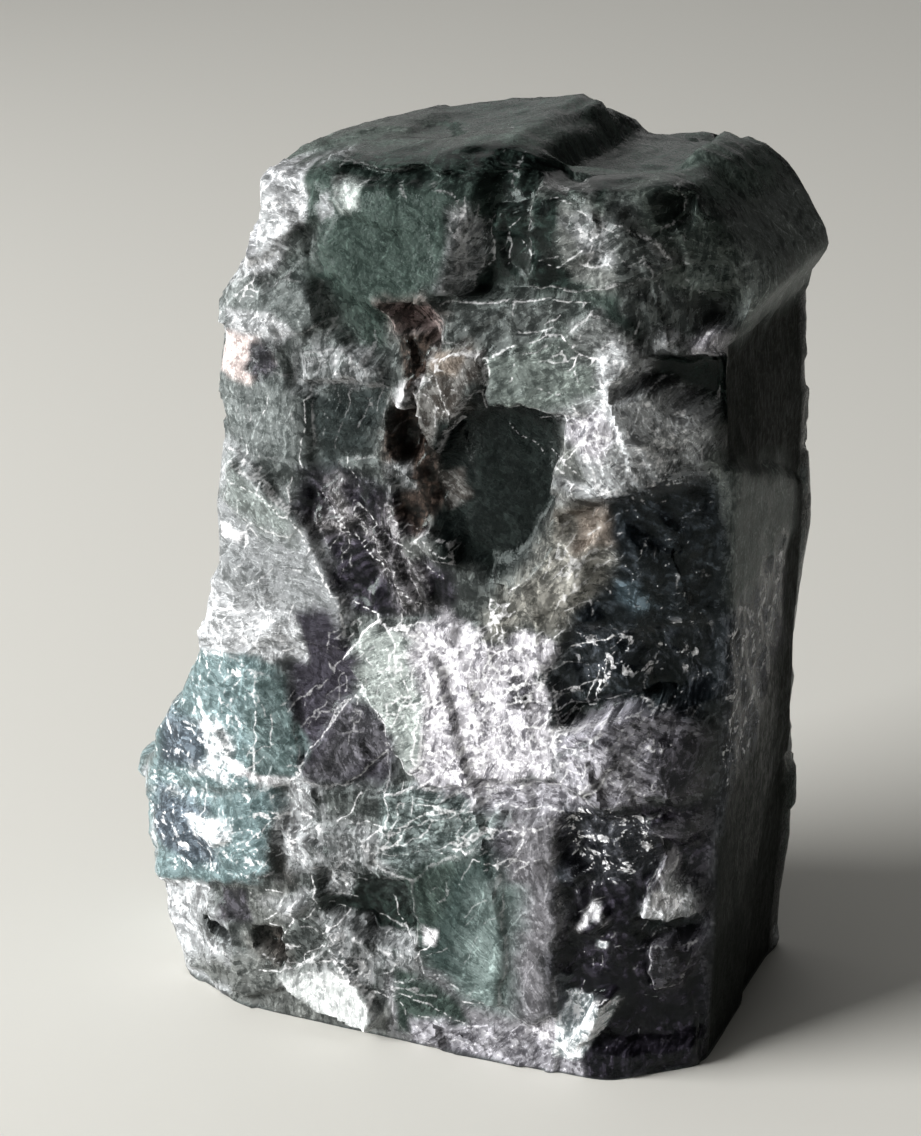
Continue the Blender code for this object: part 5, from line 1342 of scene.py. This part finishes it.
class Fluorite(Shading):
    """Clear mineral, dark with depth, with veils, frost, flecks and bright cleavage lines on its breaks.

    Its patterns are three noises in millimetres and what is kept on the points of the surface.
    """

    def __init__(self):
        """Reads what the surface keeps, and makes the three noises and the clouds."""
        super().__init__("fluorite")
        place = self.scale(self.tree.nodes.new("ShaderNodeTexCoord").outputs["Object"], 1.0 / MM)
        self.tint, self.veil = self.attribute("tint", "Vector"), self.attribute("veil", "Vector")
        self.milk, self.frost, self.flecks = (self.attribute(name) for name in ("milk", "frost", "flecks"))
        self.edge, self.rim = self.attribute("edge"), self.attribute("rim")
        self.mottle = self.noise(self.attribute("bent", "Vector"), *MOTTLE)
        self.streak = self.noise(self.attribute("grain", "Vector"), *STREAK)
        self.grit = self.noise(place, *GRIT)
        self.soft_mottle = self.ramp(self.mottle, *SOFT_SPAN)
        self.soft_grit = self.ramp(self.grit, *SOFT_SPAN)
        self.cloud = self.scaled(self.soft_mottle, CLOUD_MOTTLE,
                                 self.times(self.attribute("cloud"), 1.0 - CLOUD_MOTTLE))

    def frost_share(self):
        """The share of the face that is frosted: its finish's own, more in clouds and at bright edges."""
        swell = self.times(self.math("SUBTRACT", self.cloud, 0.5),
                           self.math("ADD", self.frost, FROST_SWELL))
        halo = self.times(self.edge, self.edge, self.times(self.rim, FROST_EDGE))
        return self.math("ADD", self.math("ADD", self.frost, halo), swell, clamp=True)

    def frosted(self, share):
        """Where the frost lies: where chips, grit, mottle and streaks add up to more than 1 - share."""
        pattern = self.times(self.soft_grit, FROST_GRIT)
        for form, weight in ((self.attribute("chip"), FROST_CHIP), (self.soft_mottle, FROST_MOTTLE),
                             (self.ramp(self.streak, *SOFT_SPAN), FROST_STREAK)):
            pattern = self.scaled(form, weight, pattern)
        bar = self.math("SUBTRACT", 1.0, share)
        return self.ramp(pattern, self.math("SUBTRACT", bar, FROST_SOFT), self.math("ADD", bar, FROST_SOFT))

    def edges(self):
        """Bright lines along the edges of flakes and the veins, broken in width and light by grit."""
        broken = self.ramp(self.grit, *BREAK_SPAN)
        width = self.scaled(broken, *EDGE_WIDTH)
        line = self.ramp(self.edge, self.math("SUBTRACT", 1.0, width), 1.0)
        return self.times(line, self.times(self.rim, self.scaled(broken, *EDGE_BRIGHT)))

    def wisps(self, share):
        """Fine pale lines in the frost, along level lines of the streaks, the mottle and the creases."""
        wisp = self.highest(self.near_level(self.streak, *WISPS_STREAK),
                            self.near_level(self.mottle, *WISPS_MOTTLE),
                            self.near_level(self.attribute("crack"), *WISPS_CRACK))
        return self.times(wisp, self.times(self.ramp(share, *WISP_SPAN), self.soft_grit))

    def specks(self, cluster):
        """Bright specks, white crumbs and painted glints: where grit with some streak in it is above a bar
        that many flecks lower.
        """
        grit = self.scaled(self.grit, SPECK_GRIT, self.times(self.streak, SPECK_STREAK))
        return self.above(grit, self.scaled(cluster, *SPECK_BAR), SPECK_SOFT)

    def shards(self, cluster):
        """Bright shards, white chips and painted glints: where creases with some grit in them are above a bar
        that many flecks lower.
        """
        many = self.times(cluster, self.scaled(self.soft_mottle, *SHARD_MOTTLE))
        bar = self.highest(self.scaled(many, *SHARD_BAR), SHARD_LOWEST)
        crease = self.scaled(self.grit, SHARD_GRIT, self.attribute("shard"))
        shard = self.above(crease, bar, SHARD_SOFT)
        return self.times(shard, self.scaled(self.soft_grit, *SHARD_BRIGHT),
                          self.ramp(self.flecks, *SHARD_SPAN))

    def bump(self):
        """Grit as fine relief, higher where the face is milky."""
        node = self.tree.nodes.new("ShaderNodeBump")
        node.inputs["Strength"].default_value = BUMP_STRENGTH
        node.inputs["Distance"].default_value = BUMP_METRES
        self.put(self.times(self.grit, self.scaled(self.milk, *BUMP_MILK)), node.inputs["Height"])
        return node.outputs[0]

    def depth(self):
        """What the clear mineral takes from the light inside it."""
        node = self.tree.nodes.new("ShaderNodeVolumeAbsorption")
        node.inputs["Color"].default_value = (*ABSORPTION_COLOR, 1.0)
        node.inputs["Density"].default_value = ABSORPTION_DENSITY
        return node.outputs[0]

    def finish(self):
        """Links colour, clearness, gloss, relief and depth to the shader, and gives the material."""
        share = self.frost_share()
        frosted = self.frosted(share)
        cluster = self.times(self.flecks, self.ramp(self.cloud, *GATHER_CLOUD))
        bright = self.highest(self.specks(cluster), self.edges(), self.shards(cluster))

        body = self.scale(self.tint, self.scaled(self.cloud, *BODY_LIGHT))
        face = self.mix(frosted, body, self.veil)
        face = self.mix(self.wisps(share), face, self.scale(self.veil, WISP_GAIN))
        self.put(self.mix(bright, face, (*LINE_COLOR, 1.0)), self.shader.inputs["Base Color"])

        hidden = self.highest(self.milk, self.highest(self.times(frosted, FROST_HIDES), bright))
        clear = self.math("SUBTRACT", 1.0, hidden, clamp=True)
        self.put(clear, self.shader.inputs["Transmission Weight"])
        rough = self.scaled(self.times(frosted, self.milk), *ROUGHNESS)
        rough = self.math("ADD", rough, self.ramp(self.milk, *DULL_SPAN), clamp=True)
        self.put(rough, self.shader.inputs["Roughness"])
        self.put(self.bump(), self.shader.inputs["Normal"])
        self.put(self.depth(), self.output.inputs["Volume"])
        self.plain({"IOR": STONE_IOR, "Specular Tint": (*SHEEN_TINT, 1.0),
                    "Specular IOR Level": SHEEN_LEVEL})
        return self.material


def block():
    """The block as one closed piece: the fine surface, its flat base, and what its finish reads."""
    points, quads, fives, foot, readings = block_surface()
    corners = np.concatenate([quads.ravel(), fives.ravel(), foot[::-1]])
    sizes = np.concatenate([np.full(len(quads), 4), np.full(len(fives), 5), [len(foot)]])
    middle = (points.min(axis=0) + points.max(axis=0)) / 2
    middle[2] = 0.0

    mesh = bpy.data.meshes.new("fluorite_stone")
    mesh.vertices.add(len(points))
    mesh.vertices.foreach_set("co", ((points - middle) * MM).ravel().astype(np.float32))
    mesh.loops.add(len(corners))
    mesh.loops.foreach_set("vertex_index", corners.astype(np.int32))
    mesh.polygons.add(len(sizes))
    mesh.polygons.foreach_set("loop_start", np.concatenate([[0], np.cumsum(sizes)[:-1]]).astype(np.int32))
    mesh.update(calc_edges=True)
    mesh.validate()
    mesh.shade_smooth()
    mesh.set_sharp_from_angle(angle=SHARP_ANGLE)
    for name, values in readings.items():
        kind, field = ("FLOAT", "value") if values.ndim == 1 else ("FLOAT_VECTOR", "vector")
        layer = mesh.attributes.new(name, kind, "POINT")
        layer.data.foreach_set(field, values.ravel().astype(np.float32))
    stone = bpy.data.objects.new("fluorite_stone", mesh)
    bpy.context.scene.collection.objects.link(stone)
    mesh.materials.append(Fluorite().finish())
    return stone, middle


def floor():
    """A plain pale floor under the block."""
    low, high = -FLOOR_HALF, FLOOR_HALF
    corners = [(x, y, -FLOOR_DROP) for x, y in ((low, low), (high, low), (high, high), (low, high))]
    mesh = bpy.data.meshes.new("floor")
    mesh.from_pydata(corners, [], [(0, 1, 2, 3)])
    ground = bpy.data.objects.new("floor", mesh)
    bpy.context.scene.collection.objects.link(ground)
    paint = Shading("floor_paint")
    paint.plain({"Base Color": (*FLOOR_COLOR, 1.0), "Roughness": FLOOR_ROUGHNESS})
    mesh.materials.append(paint.material)


def lamp(name, place, width, power, color):
    """A soft square light that stands at a place and faces the block."""
    data = bpy.data.lights.new(name, "AREA")
    data.shape = "RECTANGLE"
    data.size = data.size_y = width
    data.energy = power
    data.color = color
    light = bpy.data.objects.new(name, data)
    light.location = place
    way = np.array(LAMP_AIM) - np.array(place)
    light.rotation_euler = (math.acos(-way[2] / np.linalg.norm(way)), 0.0,
                            math.atan2(way[1], way[0]) - math.pi / 2)
    bpy.context.scene.collection.objects.link(light)


def studio():
    """A window-like light from the left, a weak one from behind, and a surround that fades to the right."""
    world = bpy.data.worlds.new("surround")
    world.use_nodes = True
    nodes, links = world.node_tree.nodes, world.node_tree.links
    background = nodes["Background"]
    away = nodes.new("ShaderNodeVectorMath")
    away.operation = "DOT_PRODUCT"
    away.inputs[1].default_value = SURROUND_WAY
    links.new(nodes.new("ShaderNodeTexCoord").outputs["Generated"], away.inputs[0])
    fade = nodes.new("ShaderNodeMapRange")
    fade.interpolation_type = "SMOOTHSTEP"
    for name, value in zip(("From Min", "From Max", "To Min", "To Max"), SURROUND_SPAN):
        fade.inputs[name].default_value = value
    links.new(away.outputs["Value"], fade.inputs["Value"])
    links.new(fade.outputs[0], background.inputs["Strength"])
    background.inputs["Color"].default_value = (*SURROUND_COLOR, 1.0)
    bpy.context.scene.world = world
    for name, row in LAMPS.items():
        lamp(name, *row)


def camera(middle):
    """The photograph's viewpoint: 22 degrees round to the right and 19 degrees down."""
    data = bpy.data.cameras.new("camera")
    data.sensor_fit = "VERTICAL"
    data.sensor_height = SENSOR
    data.lens = FOCAL_PIXELS * SENSOR / PHOTO_HEIGHT
    eye = bpy.data.objects.new("camera", data)
    eye.location = (np.array(CAMERA_PLACE) - middle) * MM
    eye.rotation_euler = (CAMERA_TILT, 0.0, CAMERA_TURN)
    bpy.context.scene.collection.objects.link(eye)
    bpy.context.scene.camera = eye


stone, middle = block()
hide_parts(NODE)
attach(stone, "root")
floor()
studio()
camera(middle)
bpy.context.scene.view_settings.view_transform = "Standard"
